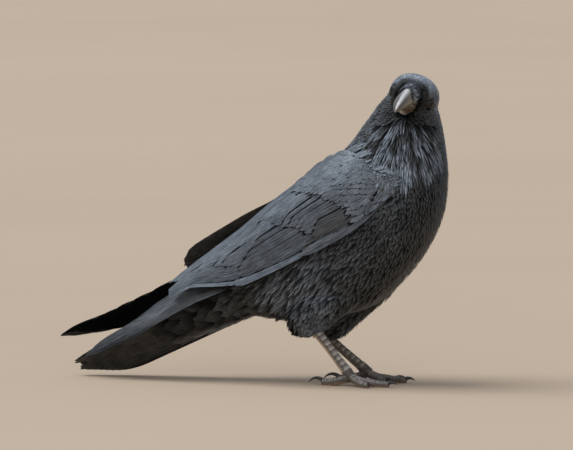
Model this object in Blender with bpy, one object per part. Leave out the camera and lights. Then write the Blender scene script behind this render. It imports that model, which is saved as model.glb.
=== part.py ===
"""A life-size common raven, standing with its head turned to its right, as a set of closed solids.

Body frame: +X is the way the trunk faces, +Y is the bird's left, +Z is up. Lengths are in metres, and the
tables below are in millimetres (MM turns them into metres). The feet stand on z = 0.
"""

import math

import bmesh
import bpy
import numpy as np
from mathutils import Matrix, Vector

MM = 0.001
GAP = 0.32 * MM  # clear space between neighbouring pieces

# ---- driving sizes, in millimetres -------------------------------------------------------------
RING = 24  # points around a body section
TOE_RING = 7
# key sections of the trunk and neck: back x, z; belly x, z; half width; sideways shift
BODY_KEYS = (
    (-160, 108, -152, 88, 9, 0),
    (-140, 138, -124, 76, 29, 0),
    (-107, 180, -84, 71, 46, 0),
    (-69, 219, -42, 75, 57, 0),
    (-34, 251, 16, 90, 62, 0),
    (-5, 280, 64, 132, 62, 0),
    (9, 299, 96, 184, 56, 0),
    (18, 311, 105, 234, 47, 1),
    (28, 325, 101, 279, 40, 1),
    (42, 338, 96, 308, 32, 0),
    (53, 346, 92, 325, 24, -2),
)
BODY_RINGS = 31
NECK_RING = 22  # the ring at which the neck leaves the trunk

# the head's own frame: +X to the bill's tip, +Y left, +Z up, origin between the eyes
HEAD_AT = (70.4, -12.6, 333)
HEAD_FORWARD = (0.165, -0.986, 0.002)
HEAD_LEFT = (0.930, 0.155, -0.354)
# stations of the head: x, top z, bottom z, half width
HEAD_KEYS = (
    (-45, 5, -12, 6),
    (-40, 14.5, -20, 18),
    (-28, 22.5, -27, 26.5),
    (-12, 25.5, -28, 29.5),
    (2, 25.5, -26, 26.5),
    (12, 23.2, -23, 22.5),
    (20, 18.8, -19.5, 19),
    (26, 15, -16, 14),
    (29, 8, -9, 8),
)
EYE_RADIUS = 7.4
EYE_AT = (4, 19.4, 0)  # the left eye; the right one mirrors it
# stations of the bill: x, culmen z, cutting-edge z, half width, and the same for the lower half
BILL_UPPER_KEYS = (
    (10, 13, -6, 11),
    (20, 16, -5, 12.5),
    (32, 16, -3.2, 12),
    (46, 14, -2.6, 10),
    (60, 10, -3.8, 8.8),
    (72, 4.8, -6.4, 7.2),
    (82, -2.2, -9.5, 4.9),
    (89, -9.6, -13.5, 1.8),
)
BILL_LOWER_KEYS = (
    (10, -6.35, -18.5, 11.4),
    (20, -5.35, -20.5, 11.8),
    (32, -3.55, -19.4, 10.8),
    (46, -2.95, -16.4, 8.6),
    (60, -4.15, -13.2, 6),
    (72, -6.8, -11.8, 3.8),
    (81, -9.7, -11.6, 1.2),
)

# wings: each key is lower edge x, y, z; upper edge x, y, z; outward bulge; thickness, for the right wing
WING_KEYS_RIGHT = (
    (58, 46, 230, 46, 36, 254, 0, 3),
    (50, 53, 219, 18, 34, 272, 9, 12),
    (16, 67, 190, -14, 26, 266, 12, 17),
    (-18, 69, 171, -42, 15, 252, 13, 16),
    (-54, 69, 152, -73, 10, 231, 14, 13),
    (-90, 65, 135, -103, 9, 208, 13, 10),
    (-122, 58, 122, -134, 11, 181, 10, 8),
    (-147, 52, 118, -166, 15, 156, 6, 6),
    (-190, 42, 114, -196, 21, 131, 2, 3),
)
HAND_KEYS_RIGHT = (
    (-104, 52, 138, -114, 34, 158, 2, 3.5),
    (-146, 49, 112, -154, 25, 138, 2, 5),
    (-183, 46, 96, -193, 20, 116, 2, 5),
    (-226, 42, 73, -234, 19, 90, 1, 4),
    (-258, 39, 55, -265, 22, 69, 1, 3),
    (-292, 35, 39, -297, 25, 49, 0.5, 2.2),
    (-326, 30, 23.5, -325, 28, 26.5, 0, 1),
)
WING_KEYS_LEFT = (
    (38, 50, 224, 22, 38, 250, 0, 3),
    (32, 57, 212, 0, 32, 266, 9, 12),
    (2, 69, 188, -23, 24, 262, 12, 17),
    (-28, 71, 168, -46, 16, 248, 13, 16),
    (-60, 70, 152, -74, 12, 230, 14, 13),
    (-93, 66, 140, -102, 11, 211, 13, 10),
    (-126, 58, 131, -138, 13, 192.5, 10, 8),
    (-158, 50, 127, -171, 17, 172.5, 7, 6),
    (-192, 42, 124, -204, 23, 151.5, 4, 5),
    (-227, 33, 124.5, -227, 27, 135.5, 1, 2),
)
HAND_KEYS_LEFT = (
    (-112, 52, 142, -124, 31, 168, 2, 3.5),
    (-162, 46, 116, -177, 25, 143, 2, 5),
    (-211, 40, 92, -221, 21, 116.5, 2, 5),
    (-263, 34, 70, -264, 19, 95.5, 1, 4),
    (-301, 29, 60, -302, 19, 81, 0.5, 3),
    (-339, 24, 50.5, -339, 18, 64, 0, 2),
    (-378, 20, 41.5, -378, 18, 45, 0, 1),
)
WING_RINGS = 26
HAND_RINGS = 16
WING_SIDE = 6  # points along each face of a wing section
EDGE_THICK = 0.7  # of a wing or tail edge

# tail: a fan of six pairs of feathers, each shorter than the next one in
TAIL_ROOT = (-108, 0, 104)
TAIL_PITCH = 21.2  # degrees below level
TAIL_ROLL = 42  # degrees, right edge up
TAIL_LENGTH = 255
TAIL_HALF_ROOTS = {"right": 38, "left": 21}
TAIL_HALF = 34
TAIL_STEPS = {"right": 10, "left": 6.5}  # between the tips of neighbouring feathers
TAIL_NEAR = 0.86  # the right half is folded a little tighter than the left
TAIL_PAIRS = 6
TAIL_ARCH = 2.5  # how far the edges hang below the middle
TAIL_THICK = 5
COVERT_THICK = 42  # at the root, where the tail coverts lie
COVERT_LENGTH = 165

# legs: heel, foot joint, and the toes' headings in degrees from +X towards +Y
LEGS = {
    "right": {"side": -1, "heel": (-41, -28, 62), "foot": (2, -32, 12), "turn": -3},
    "left": {"side": 1, "heel": (-50, 28, 53), "foot": (1, 30, 12), "turn": -2},
}
TARSUS_HALF = (4.2, 5.6)  # side to side, fore and aft
FOOT_BALL = 6.2
SINK = 0.8  # height of a pad's middle, as a share of its half height: the rest is cut level by the floor
TOES = {  # length, heading for a right foot, base and tip half width, claw length, claw bend
    "1": (36, 177, 4.8, 4.1, 25, 105),
    "2": (31, 24, 4.0, 3.6, 15, 85),
    "3": (48, 0, 4.4, 3.8, 15.5, 80),
    "4": (36, -32, 4.0, 3.6, 13.5, 80),
}
# sections of the feathered thighs, from the flank down: z, x, half fore and aft, y, half across
THIGH_KEYS = {
    "right": (
        (122, -10, 38, -31, 14),
        (100, -25, 41, -32, 21),
        (84, -39, 37, -31, 20),
        (72, -48, 29, -30, 17),
        (63, -51, 22, -29, 12),
        (57, -52, 14, -28, 8),
        (54.5, -52, 6, -28, 4),
    ),
    "left": (
        (122, 4, 40, 31, 14),
        (100, -11, 40, 31, 21),
        (84, -26, 36, 30, 20),
        (70, -38, 32, 29, 16),
        (58, -45, 25, 28, 12),
        (50, -46, 16, 28, 8),
        (46.5, -46, 7, 28, 4),
    ),
}
THIGH_RINGS = 12


# ---- mesh helpers ------------------------------------------------------------------------------
def clear_scene():
    for obj in list(bpy.data.objects):
        bpy.data.objects.remove(obj, do_unlink=True)


def material(name, colour, roughness, metallic=0.0):
    made = bpy.data.materials.get(name)
    if made is None:
        made = bpy.data.materials.new(name)
        made.use_nodes = True
        shader = made.node_tree.nodes["Principled BSDF"]
        shader.inputs["Base Color"].default_value = (*colour, 1)
        shader.inputs["Roughness"].default_value = roughness
        shader.inputs["Metallic"].default_value = metallic
    return made


def plumage():
    return material("plumage", (0.035, 0.038, 0.045), 0.5)


def horn():
    return material("bill_and_claw", (0.05, 0.048, 0.046), 0.3)


def eye_surface():
    return material("eye", (0.02, 0.012, 0.008), 0.08)


def leg_skin():
    return material("leg_skin", (0.07, 0.062, 0.056), 0.55)


def spline(keys, t):
    """A Catmull-Rom curve through rows of numbers, at t from 0 to 1."""
    keys = np.asarray(keys, float)
    at = min(max(t, 0.0), 1.0) * (len(keys) - 1)
    i = min(int(at), len(keys) - 2)
    f = at - i
    p1, p2 = keys[i], keys[i + 1]
    p0 = keys[i - 1] if i else 2 * p1 - p2
    p3 = keys[i + 2] if i + 2 < len(keys) else 2 * p2 - p1
    return 0.5 * (
        2 * p1
        + (p2 - p0) * f
        + (2 * p0 - 5 * p1 + 4 * p2 - p3) * f**2
        + (3 * p1 - p0 - 3 * p2 + p3) * f**3
    )


def loft(name, rings, made_of):
    """A closed solid through rings of points, each end closed by a fan."""
    bm = bmesh.new()
    rows = [[bm.verts.new(p) for p in ring] for ring in rings]
    count = len(rings[0])
    for a, b in zip(rows, rows[1:]):
        for i in range(count):
            j = (i + 1) % count
            bm.faces.new((a[i], a[j], b[j], b[i]))
    for row, order in ((rows[0], -1), (rows[-1], 1)):
        middle = bm.verts.new(sum((v.co for v in row), Vector()) / count)
        for i in range(count):
            pair = (row[i], row[(i + 1) % count])[::order]
            bm.faces.new((*pair, middle))
    bmesh.ops.recalc_face_normals(bm, faces=bm.faces)
    bmesh.ops.triangulate(bm, faces=bm.faces)
    if bm.calc_volume(signed=True) < 0:
        bmesh.ops.reverse_faces(bm, faces=bm.faces)
    mesh = bpy.data.meshes.new(name)
    bm.to_mesh(mesh)
    bm.free()
    mesh.shade_smooth()
    mesh.set_sharp_from_angle(angle=math.radians(40))
    mesh.materials.append(made_of)
    obj = bpy.data.objects.new(name, mesh)
    bpy.context.scene.collection.objects.link(obj)
    return obj


def settle(obj):
    """Replaces a mesh and its Booleans by their result."""
    result = bpy.data.meshes.new_from_object(obj.evaluated_get(bpy.context.evaluated_depsgraph_get()))
    obj.modifiers.clear()
    obj.data = result


def grown(source, by=GAP):
    """A hidden cutter: a copy of a solid with its surface moved out by the gap."""
    cutter = source.copy()
    cutter.data = source.data.copy()
    cutter.name = source.name + "_cutter"
    bm = bmesh.new()
    bm.from_mesh(cutter.data)
    bm.normal_update()
    moves = [v.normal * by for v in bm.verts]
    for v, move in zip(bm.verts, moves):
        v.co += move
    bm.to_mesh(cutter.data)
    bm.free()
    bpy.context.scene.collection.objects.link(cutter)
    hide(cutter)
    return cutter


def hide(obj):
    obj.hide_render = True
    obj.display_type = "WIRE"


def combine(obj, operation, others):
    for other in others:
        step = obj.modifiers.new(operation.lower() + "_" + other.name, "BOOLEAN")
        step.operation = operation
        step.solver = "EXACT"
        step.object = other
    settle(obj)


def cut(obj, *cutters):
    combine(obj, "DIFFERENCE", cutters)


def join(obj, *others):
    combine(obj, "UNION", others)
    for other in others:
        bpy.data.objects.remove(other, do_unlink=True)


def keep_side(obj, point, normal):
    """Keeps the part of a mesh that lies on the normal's side of a plane, and closes it."""
    bm = bmesh.new()
    bm.from_mesh(obj.data)
    geometry = bm.verts[:] + bm.edges[:] + bm.faces[:]
    cut_edges = bmesh.ops.bisect_plane(
        bm, geom=geometry, plane_co=point, plane_no=normal, clear_inner=True
    )["geom_cut"]
    edges = [e for e in cut_edges if isinstance(e, bmesh.types.BMEdge)]
    bmesh.ops.contextual_create(bm, geom=edges)
    bmesh.ops.triangulate(bm, faces=bm.faces)
    bmesh.ops.recalc_face_normals(bm, faces=bm.faces)
    bm.to_mesh(obj.data)
    bm.free()


# ---- trunk, neck and head ----------------------------------------------------------------------
def body_ring(t, count=RING):
    back_x, back_z, belly_x, belly_z, half, shift = spline(BODY_KEYS, t) * MM
    back, belly = Vector((back_x, shift, back_z)), Vector((belly_x, shift, belly_z))
    middle, up = (back + belly) / 2, (back - belly) / 2
    points = []
    for i in range(count):
        a = 2 * math.pi * i / count
        across, along = math.cos(a), math.sin(a)
        # a section a little squarer than an ellipse, fuller below than above
        full = (abs(across) ** 2.3 + abs(along) ** 2.3) ** (-1 / 2.3)
        wide = half * (1 - 0.10 * along)
        points.append(middle + up * along * full + Vector((0, wide * across * full, 0)))
    return points


def make_trunk_and_neck():
    rings = [body_ring(i / (BODY_RINGS - 1)) for i in range(BODY_RINGS)]
    whole = loft("body_whole", rings, plumage())
    hide(whole)
    seam = body_ring((NECK_RING + 0.5) / (BODY_RINGS - 1))
    at = sum(seam, Vector()) / len(seam)
    across = seam[RING // 4] - seam[3 * RING // 4]
    normal = across.cross(Vector((0, 1, 0))).normalized()
    if normal.z < 0:
        normal.negate()
    parts = []
    for name, way in (("trunk", -1), ("neck", 1)):
        part = whole.copy()
        part.data = whole.data.copy()
        part.name = name
        part.hide_render = False
        part.display_type = "TEXTURED"
        bpy.context.scene.collection.objects.link(part)
        keep_side(part, at + normal * way * GAP / 2, normal * way)
        parts.append(part)
    return whole, *parts


def head_matrix():
    forward = Vector(HEAD_FORWARD).normalized()
    left = Vector(HEAD_LEFT)
    left = (left - forward * left.dot(forward)).normalized()
    up = forward.cross(left)
    turn = Matrix((forward, left, up)).transposed().to_4x4()
    return Matrix.Translation(Vector(HEAD_AT) * MM) @ turn


def head_ring(x, top, bottom, half, count=20, power=2.2):
    place = head_matrix()
    middle, tall = (top + bottom) / 2, (top - bottom) / 2
    points = []
    for i in range(count):
        a = 2 * math.pi * i / count
        c, s = math.cos(a), math.sin(a)
        full = (abs(c) ** power + abs(s) ** power) ** (-1 / power)
        points.append(place @ (Vector((x, half * c * full, middle + tall * s * full)) * MM))
    return points


def make_head():
    rings = [head_ring(*spline(HEAD_KEYS, i / 15)) for i in range(16)]
    return loft("head", rings, plumage())


def make_bill():
    upper = [bill_ring(*spline(BILL_UPPER_KEYS, i / 14), ridge=True) for i in range(15)]
    lower = [bill_ring(*spline(BILL_LOWER_KEYS, i / 12), ridge=False) for i in range(13)]
    return loft("bill_upper", upper, horn()), loft("bill_lower", lower, horn())


def bill_ring(x, top, bottom, half, ridge, count=14):
    """A section of one half of the bill: arched on its outer side, flat where the halves meet."""
    place = head_matrix()
    points = []
    for i in range(count):
        a = 2 * math.pi * i / count
        c, s = math.cos(a), math.sin(a)
        outer = s > 0 if ridge else s < 0
        swell = (top - bottom) * s if outer else 0
        z = (bottom if ridge else top) + swell
        y = half * c * (1 - 0.12 * abs(s) if outer else 1)
        points.append(place @ (Vector((x, y, z)) * MM))
    return points


def make_ball(name, at, radius, made_of, around):
    bm = bmesh.new()
    bmesh.ops.create_uvsphere(bm, u_segments=around, v_segments=around // 2, radius=radius * MM)
    bmesh.ops.triangulate(bm, faces=bm.faces)
    bmesh.ops.translate(bm, vec=at, verts=bm.verts)
    mesh = bpy.data.meshes.new(name)
    bm.to_mesh(mesh)
    bm.free()
    mesh.shade_smooth()
    mesh.materials.append(made_of)
    obj = bpy.data.objects.new(name, mesh)
    bpy.context.scene.collection.objects.link(obj)
    return obj


def make_eye(name, side):
    at = Vector((EYE_AT[0], side * EYE_AT[1], EYE_AT[2])) * MM
    return make_ball(name, head_matrix() @ at, EYE_RADIUS, eye_surface(), 14)


# ---- wings and tail ----------------------------------------------------------------------------
def wing_ring(key, side):
    """A lens between a lower and an upper edge, bulged outwards."""
    lower = Vector((key[0], side * key[1], key[2])) * MM
    upper = Vector((key[3], side * key[4], key[5])) * MM
    bulge, thick = key[6] * MM, max(key[7], EDGE_THICK) * MM
    along = (upper - lower).normalized()
    back = Vector((-1, 0, -0.5)).normalized()
    out = (along.cross(back) * side).normalized()
    if out.y * side < 0:
        out.negate()
    outer, inner = [], []
    for i in range(WING_SIDE):
        f = i / (WING_SIDE - 1)
        arch = math.sin(math.pi * f)
        half = (EDGE_THICK * MM + (thick - EDGE_THICK * MM) * arch**0.7) / 2
        base = lower.lerp(upper, f) + out * (bulge * arch)
        outer.append(base + out * half)
        inner.append(base - out * half)
    return outer + inner[::-1]


def make_wing(name, keys, side, count):
    rings = [wing_ring(spline(keys, i / (count - 1)), side) for i in range(count)]
    return loft(name, rings, plumage())


def tail_matrix():
    pitch, roll = math.radians(TAIL_PITCH), math.radians(TAIL_ROLL)
    back = Vector((-math.cos(pitch), 0, -math.sin(pitch)))
    level_left = Vector((0, 1, 0))
    up = back.cross(level_left) * -1
    left = level_left * math.cos(roll) - up * math.sin(roll)
    up = left.cross(back)
    turn = Matrix((back, left, up)).transposed().to_4x4()
    return Matrix.Translation(Vector(TAIL_ROOT) * MM) @ turn


def tail_half_width(x, side_name):
    """Half the folded fan's width at x from its root: it widens, then steps in at each feather's tip."""
    root, step = TAIL_HALF_ROOTS[side_name], TAIL_STEPS[side_name]
    grow = root + (TAIL_HALF - root) * min(1, x / (0.72 * TAIL_LENGTH))
    width = grow
    for i in range(TAIL_PAIRS):
        tip = TAIL_LENGTH - step * (TAIL_PAIRS - 1 - i)
        share = (x - (tip - 16)) / 16
        if share > 0:
            inner = grow * (TAIL_PAIRS - 1 - i) / (TAIL_PAIRS - 0.6)
            width = min(width, inner + (width - inner) * math.sqrt(max(0.0, 1 - min(1, share) ** 2)))
    return max(width, 1.2)


def make_tail():
    place = tail_matrix()
    stations = [TAIL_LENGTH * 0.74 * i / 6 for i in range(6)]
    stations += [TAIL_LENGTH * (0.74 + 0.26 * i / 18) for i in range(19)]
    rings = []
    for x in stations:
        halves = {"right": tail_half_width(x, "right") * TAIL_NEAR, "left": tail_half_width(x, "left")}
        thick = TAIL_THICK * (1 - 0.6 * x / TAIL_LENGTH) - EDGE_THICK
        thick += COVERT_THICK * max(0, 1 - (x / COVERT_LENGTH) ** 2)
        top, bottom = [], []
        for i in range(8):
            f = -1 + 2 * i / 7
            y = f * halves["right" if f < 0 else "left"]
            drop = TAIL_ARCH * (y / TAIL_HALF) ** 2
            deep = EDGE_THICK + thick * (1 - f * f)
            top.append(place @ (Vector((x, y, -drop + deep / 2)) * MM))
            bottom.append(place @ (Vector((x, y, -drop - deep / 2)) * MM))
        rings.append(top + bottom[::-1])
    return loft("tail", rings, plumage())


# ---- legs and feet -----------------------------------------------------------------------------
def tube_rings(points, halves, flat_side, count=TOE_RING):
    """Sections along a path; halves gives (across, deep) at each point, flat_side the sideways axis."""
    rings = []
    for i, at in enumerate(points):
        ahead = points[min(i + 1, len(points) - 1)] - points[max(i - 1, 0)]
        ahead.normalize()
        side = (flat_side - ahead * flat_side.dot(ahead)).normalized()
        deep = ahead.cross(side)
        across, tall = halves[i]
        ring = []
        for j in range(count):
            a = 2 * math.pi * (j + 0.5) / count
            ring.append(at + side * (across * math.cos(a)) + deep * (tall * math.sin(a)))
        rings.append(ring)
    return rings


def make_tarsus(name, leg):
    """The bare shank with the swollen heel above it and the ball of the foot below."""
    heel, foot = Vector(leg["heel"]) * MM, Vector(leg["foot"]) * MM
    steps = (-0.13, -0.09, 0.0, 0.12, 0.4, 0.8, 0.93, 1.0)
    swell = (0.35, 0.85, 1.2, 1.0, 0.9, 1.0, 1.15, 1.0)
    across, deep = TARSUS_HALF[0] * MM, TARSUS_HALF[1] * MM
    points = [heel + (foot - heel) * s for s in steps]
    halves = [(across * w, deep * w) for w in swell]
    rings = tube_rings(points, halves, Vector((0, 1, 0)), 10)
    return loft(name, rings, leg_skin())


def toe_path(leg, toe):
    """The joint, the arched toe and its last pad, on the floor."""
    length, heading, base, tip, _, _ = TOES[toe]
    turn = math.radians(leg["turn"] + heading * -leg["side"])
    ahead = Vector((math.cos(turn), math.sin(turn), 0))
    foot = Vector(leg["foot"]) * MM
    start = foot + ahead * 2.5 * MM
    points, halves = [], []
    steps = 8
    for i in range(steps):
        f = i / (steps - 1)
        height = (foot.z - 2.5 * MM) * (1 - f) ** 2.2 + tip * MM * SINK * (1 - (1 - f) ** 2.2)
        at = start + ahead * ((length - 2.5) * f * MM)
        at.z = height
        pad = 1 + 0.1 * math.cos(2 * math.pi * f * 2)
        half = (base + (tip - base) * f) * pad * MM
        if i == steps - 1:
            half *= 0.62
        points.append(at)
        halves.append((half, half * 1.05))
    return points, halves, ahead


def make_toe(leg, toe):
    points, halves, ahead = toe_path(leg, toe)
    side = Vector((0, 0, 1)).cross(ahead)
    return loft("toe_" + toe, tube_rings(points, halves, side), leg_skin())


def make_foot(name, leg):
    """The four toes joined at the ball of the foot, with flat soles."""
    foot = make_ball(name, Vector(leg["foot"]) * MM, FOOT_BALL, leg_skin(), 10)
    join(foot, *(make_toe(leg, toe) for toe in TOES))
    cut(foot, make_box("under_" + name, foot.location, 0.3, 0.02))
    return foot


def make_box(name, at, wide, deep):
    """A hidden cutter whose top lies in the floor."""
    bm = bmesh.new()
    bmesh.ops.create_cube(bm, size=1)
    for v in bm.verts:
        v.co = Vector((v.co.x * wide, v.co.y * wide, (v.co.z - 0.5) * deep)) + at
    mesh = bpy.data.meshes.new(name)
    bm.to_mesh(mesh)
    bm.free()
    box = bpy.data.objects.new(name, mesh)
    bpy.context.scene.collection.objects.link(box)
    hide(box)
    return box


def make_claw(name, leg, toe):
    """A curved cone that leaves the toe's end level and bends down to a point just clear of the floor."""
    points, halves, ahead = toe_path(leg, toe)
    _, _, _, tip, length, bend = TOES[toe]
    side = Vector((0, 0, 1)).cross(ahead)
    at = points[-1] - ahead * 2.0 * MM + Vector((0, 0, 1.2 * MM))
    pitch = math.radians(bend * 0.42)
    steps, rings_at, widths = 8, [], []
    for i in range(steps):
        f = i / (steps - 1)
        rings_at.append(at.copy())
        half = 2.2 * (1 - f) ** 0.75 + 0.28
        widths.append((half * 0.8 * MM, half * 1.15 * MM))
        angle = pitch - math.radians(bend) * f
        at = at + (ahead * math.cos(angle) + Vector((0, 0, math.sin(angle)))) * (length / steps * MM)
    lowest = min(p.z - w[1] for p, w in zip(rings_at, widths))
    if lowest < 0.4 * MM:
        for i, p in enumerate(rings_at):
            p.z += (0.4 * MM - lowest) * (i / (steps - 1))
    return loft(name, tube_rings(rings_at, widths, side, 6), horn())


def make_thigh(name, keys, count=18):
    """The feathered lower thigh, from the flank to the heel."""
    rings = []
    for i in range(THIGH_RINGS):
        z, x, deep, y, across = spline(keys, i / (THIGH_RINGS - 1)) * MM
        turns = [2 * math.pi * k / count for k in range(count)]
        rings.append([Vector((x + deep * math.cos(a), y + across * math.sin(a), z)) for a in turns])
    return loft(name, rings, plumage())


# ---- the bird ----------------------------------------------------------------------------------
def make_raven():
    whole, trunk, neck = make_trunk_and_neck()
    head = make_head()
    bill_upper, bill_lower = make_bill()
    eyes = [make_eye("eye_left", 1), make_eye("eye_right", -1)]
    head_cutter, body_cutter = grown(head), grown(whole)
    bill_cutters = [grown(bill_upper), grown(bill_lower)]
    cut(head, *bill_cutters, *(grown(eye) for eye in eyes))
    cut(neck, head_cutter, *bill_cutters)

    tail = make_tail()
    cut(tail, body_cutter)
    tail_cutter = grown(tail)

    for side_name, leg in LEGS.items():
        thigh = make_thigh("thigh_" + side_name, THIGH_KEYS[side_name])
        tarsus = make_tarsus("tarsus_" + side_name, leg)
        foot = make_foot("foot_" + side_name, leg)
        cut(foot, *(grown(make_claw(f"claw_{side_name}_{toe}", leg, toe)) for toe in TOES))
        cut(tarsus, grown(foot))
        cut(thigh, body_cutter, grown(tarsus))
        thigh_cutter = grown(thigh)
        wing_keys, hand_keys = (
            (WING_KEYS_RIGHT, HAND_KEYS_RIGHT) if leg["side"] < 0 else (WING_KEYS_LEFT, HAND_KEYS_LEFT)
        )
        wing = make_wing("wing_" + side_name, wing_keys, leg["side"], WING_RINGS)
        hand = make_wing("primaries_" + side_name, hand_keys, leg["side"], HAND_RINGS)
        cut(hand, grown(wing), body_cutter, tail_cutter)
        cut(wing, body_cutter, thigh_cutter, tail_cutter)


def centre_on_floor():
    """Moves the bird so that its bounding box is centred on the origin's vertical; the feet stay on z = 0."""
    parts = [obj for obj in bpy.data.objects if not obj.hide_render]
    points = np.array([v.co for obj in parts for v in obj.data.vertices])
    middle = (points.min(0) + points.max(0)) / 2
    for obj in bpy.data.objects:
        obj.data.transform(Matrix.Translation((-middle[0], -middle[1], 0)))


clear_scene()
make_raven()
centre_on_floor()
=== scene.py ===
"""The raven's visual model: a skin, a coat of solid feathers, bill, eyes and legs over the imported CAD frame.

Design lengths are in millimetres in the bird's own frame: +X the way the trunk faces, +Y its left, +Z up,
origin on the floor between the feet. Every piece is moved into the frame by SHIFT and scaled by MM.
"""

import functools
import math

import bmesh
import bpy
import numpy as np
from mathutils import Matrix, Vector
from mathutils.bvhtree import BVHTree
from mathutils.kdtree import KDTree


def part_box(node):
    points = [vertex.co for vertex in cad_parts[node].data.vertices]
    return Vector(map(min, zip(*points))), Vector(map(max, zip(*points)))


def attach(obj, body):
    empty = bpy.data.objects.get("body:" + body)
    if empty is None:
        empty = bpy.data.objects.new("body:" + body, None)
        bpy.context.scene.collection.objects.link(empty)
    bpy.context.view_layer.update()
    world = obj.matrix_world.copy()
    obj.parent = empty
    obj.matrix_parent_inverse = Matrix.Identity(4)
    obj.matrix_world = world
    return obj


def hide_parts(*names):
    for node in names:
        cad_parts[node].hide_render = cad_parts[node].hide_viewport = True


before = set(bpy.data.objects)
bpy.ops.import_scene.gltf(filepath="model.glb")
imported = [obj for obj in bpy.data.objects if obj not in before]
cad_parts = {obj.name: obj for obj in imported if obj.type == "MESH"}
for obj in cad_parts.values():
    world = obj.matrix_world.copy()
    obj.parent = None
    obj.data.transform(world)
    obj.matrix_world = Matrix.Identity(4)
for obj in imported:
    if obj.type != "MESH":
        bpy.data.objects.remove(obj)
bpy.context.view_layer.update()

MM = 0.001
RANDOM = np.random.default_rng(20)

SIDES = {"right": -1, "left": 1}
LEFT, UP = np.array((0.0, 1.0, 0.0)), np.array((0.0, 0.0, 1.0))

# ---- the bird's sizes, as in the solids, in millimetres ----------------------------------------
HEAD_AT = np.array((70.4, -12.6, 333))
HEAD_FORWARD = np.array((0.165, -0.986, 0.002))
HEAD_LEFT = np.array((0.930, 0.155, -0.354))
EYE_AT = np.array((4, 19.4, 0))
EYE_RADIUS = 7.4
# stations of the bill in the head's frame: x, top z, bottom z, half width
BILL_UPPER_KEYS = (
    (10, 13, -6, 11),
    (20, 16, -5, 12.5),
    (32, 16, -3.2, 12),
    (46, 14, -2.6, 10),
    (60, 10, -3.8, 8.8),
    (72, 4.8, -6.4, 7.2),
    (82, -2.2, -9.5, 4.9),
    (89, -9.6, -13.5, 1.8),
)
BILL_LOWER_KEYS = (
    (10, -6.35, -18.5, 11.4),
    (20, -5.35, -20.5, 11.8),
    (32, -3.55, -19.4, 10.8),
    (46, -2.95, -16.4, 8.6),
    (60, -4.15, -13.2, 6),
    (72, -6.8, -11.8, 3.8),
    (81, -9.7, -11.6, 1.2),
)

# wings: lower edge x, y, z; upper edge x, y, z; outward bulge; thickness
WING_KEYS_RIGHT = (
    (58, 46, 230, 46, 36, 254, 0, 3),
    (50, 53, 219, 18, 34, 272, 9, 12),
    (16, 67, 190, -14, 26, 266, 12, 17),
    (-18, 69, 171, -42, 15, 252, 13, 16),
    (-54, 69, 152, -73, 10, 231, 14, 13),
    (-90, 65, 135, -103, 9, 208, 13, 10),
    (-122, 58, 122, -134, 11, 181, 10, 8),
    (-147, 52, 118, -166, 15, 156, 6, 6),
    (-190, 42, 114, -196, 21, 131, 2, 3),
)
HAND_KEYS_RIGHT = (
    (-104, 52, 138, -114, 34, 158, 2, 3.5),
    (-146, 49, 112, -154, 25, 138, 2, 5),
    (-183, 46, 96, -193, 20, 116, 2, 5),
    (-226, 42, 73, -234, 19, 90, 1, 4),
    (-258, 39, 55, -265, 22, 69, 1, 3),
    (-292, 35, 39, -297, 25, 49, 0.5, 2.2),
    (-326, 30, 23.5, -325, 28, 26.5, 0, 1),
)
WING_KEYS_LEFT = (
    (38, 50, 224, 22, 38, 250, 0, 3),
    (32, 57, 212, 0, 32, 266, 9, 12),
    (2, 69, 188, -23, 24, 262, 12, 17),
    (-28, 71, 168, -46, 16, 248, 13, 16),
    (-60, 70, 152, -74, 12, 230, 14, 13),
    (-93, 66, 140, -102, 11, 211, 13, 10),
    (-126, 58, 131, -138, 13, 192.5, 10, 8),
    (-158, 50, 127, -171, 17, 172.5, 7, 6),
    (-192, 42, 124, -204, 23, 151.5, 4, 5),
    (-227, 33, 124.5, -227, 27, 135.5, 1, 2),
)
HAND_KEYS_LEFT = (
    (-112, 52, 142, -124, 31, 168, 2, 3.5),
    (-162, 46, 116, -177, 25, 143, 2, 5),
    (-211, 40, 92, -221, 21, 116.5, 2, 5),
    (-263, 34, 70, -264, 19, 95.5, 1, 4),
    (-301, 29, 60, -302, 19, 81, 0.5, 3),
    (-339, 24, 50.5, -339, 18, 64, 0, 2),
    (-378, 20, 41.5, -378, 18, 45, 0, 1),
)
WING_KEYS = {"right": WING_KEYS_RIGHT, "left": WING_KEYS_LEFT}
HAND_KEYS = {"right": HAND_KEYS_RIGHT, "left": HAND_KEYS_LEFT}
EDGE_THICK = 0.7

TAIL_ROOT = np.array((-108, 0, 104))
TAIL_PITCH = 21.2  # degrees, as the roll
TAIL_ROLL = 42
TAIL_LENGTH = 255
TAIL_HALF_ROOTS = {"right": 38, "left": 21}
TAIL_HALF = 34
TAIL_STEPS = {"right": 10, "left": 6.5}
TAIL_SNUG = {"right": 0.86, "left": 1.0}  # share of the width that the vanes keep to
TAIL_PAIRS = 6
TAIL_ARCH = 2.5

LEGS = {
    "right": {"side": -1, "heel": np.array((-41.0, -28, 62)), "foot": np.array((2.0, -32, 12)), "turn": -3},
    "left": {"side": 1, "heel": np.array((-50.0, 28, 53)), "foot": np.array((1.0, 30, 12)), "turn": -2},
}
TARSUS_HALF = (4.2, 5.6)
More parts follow.
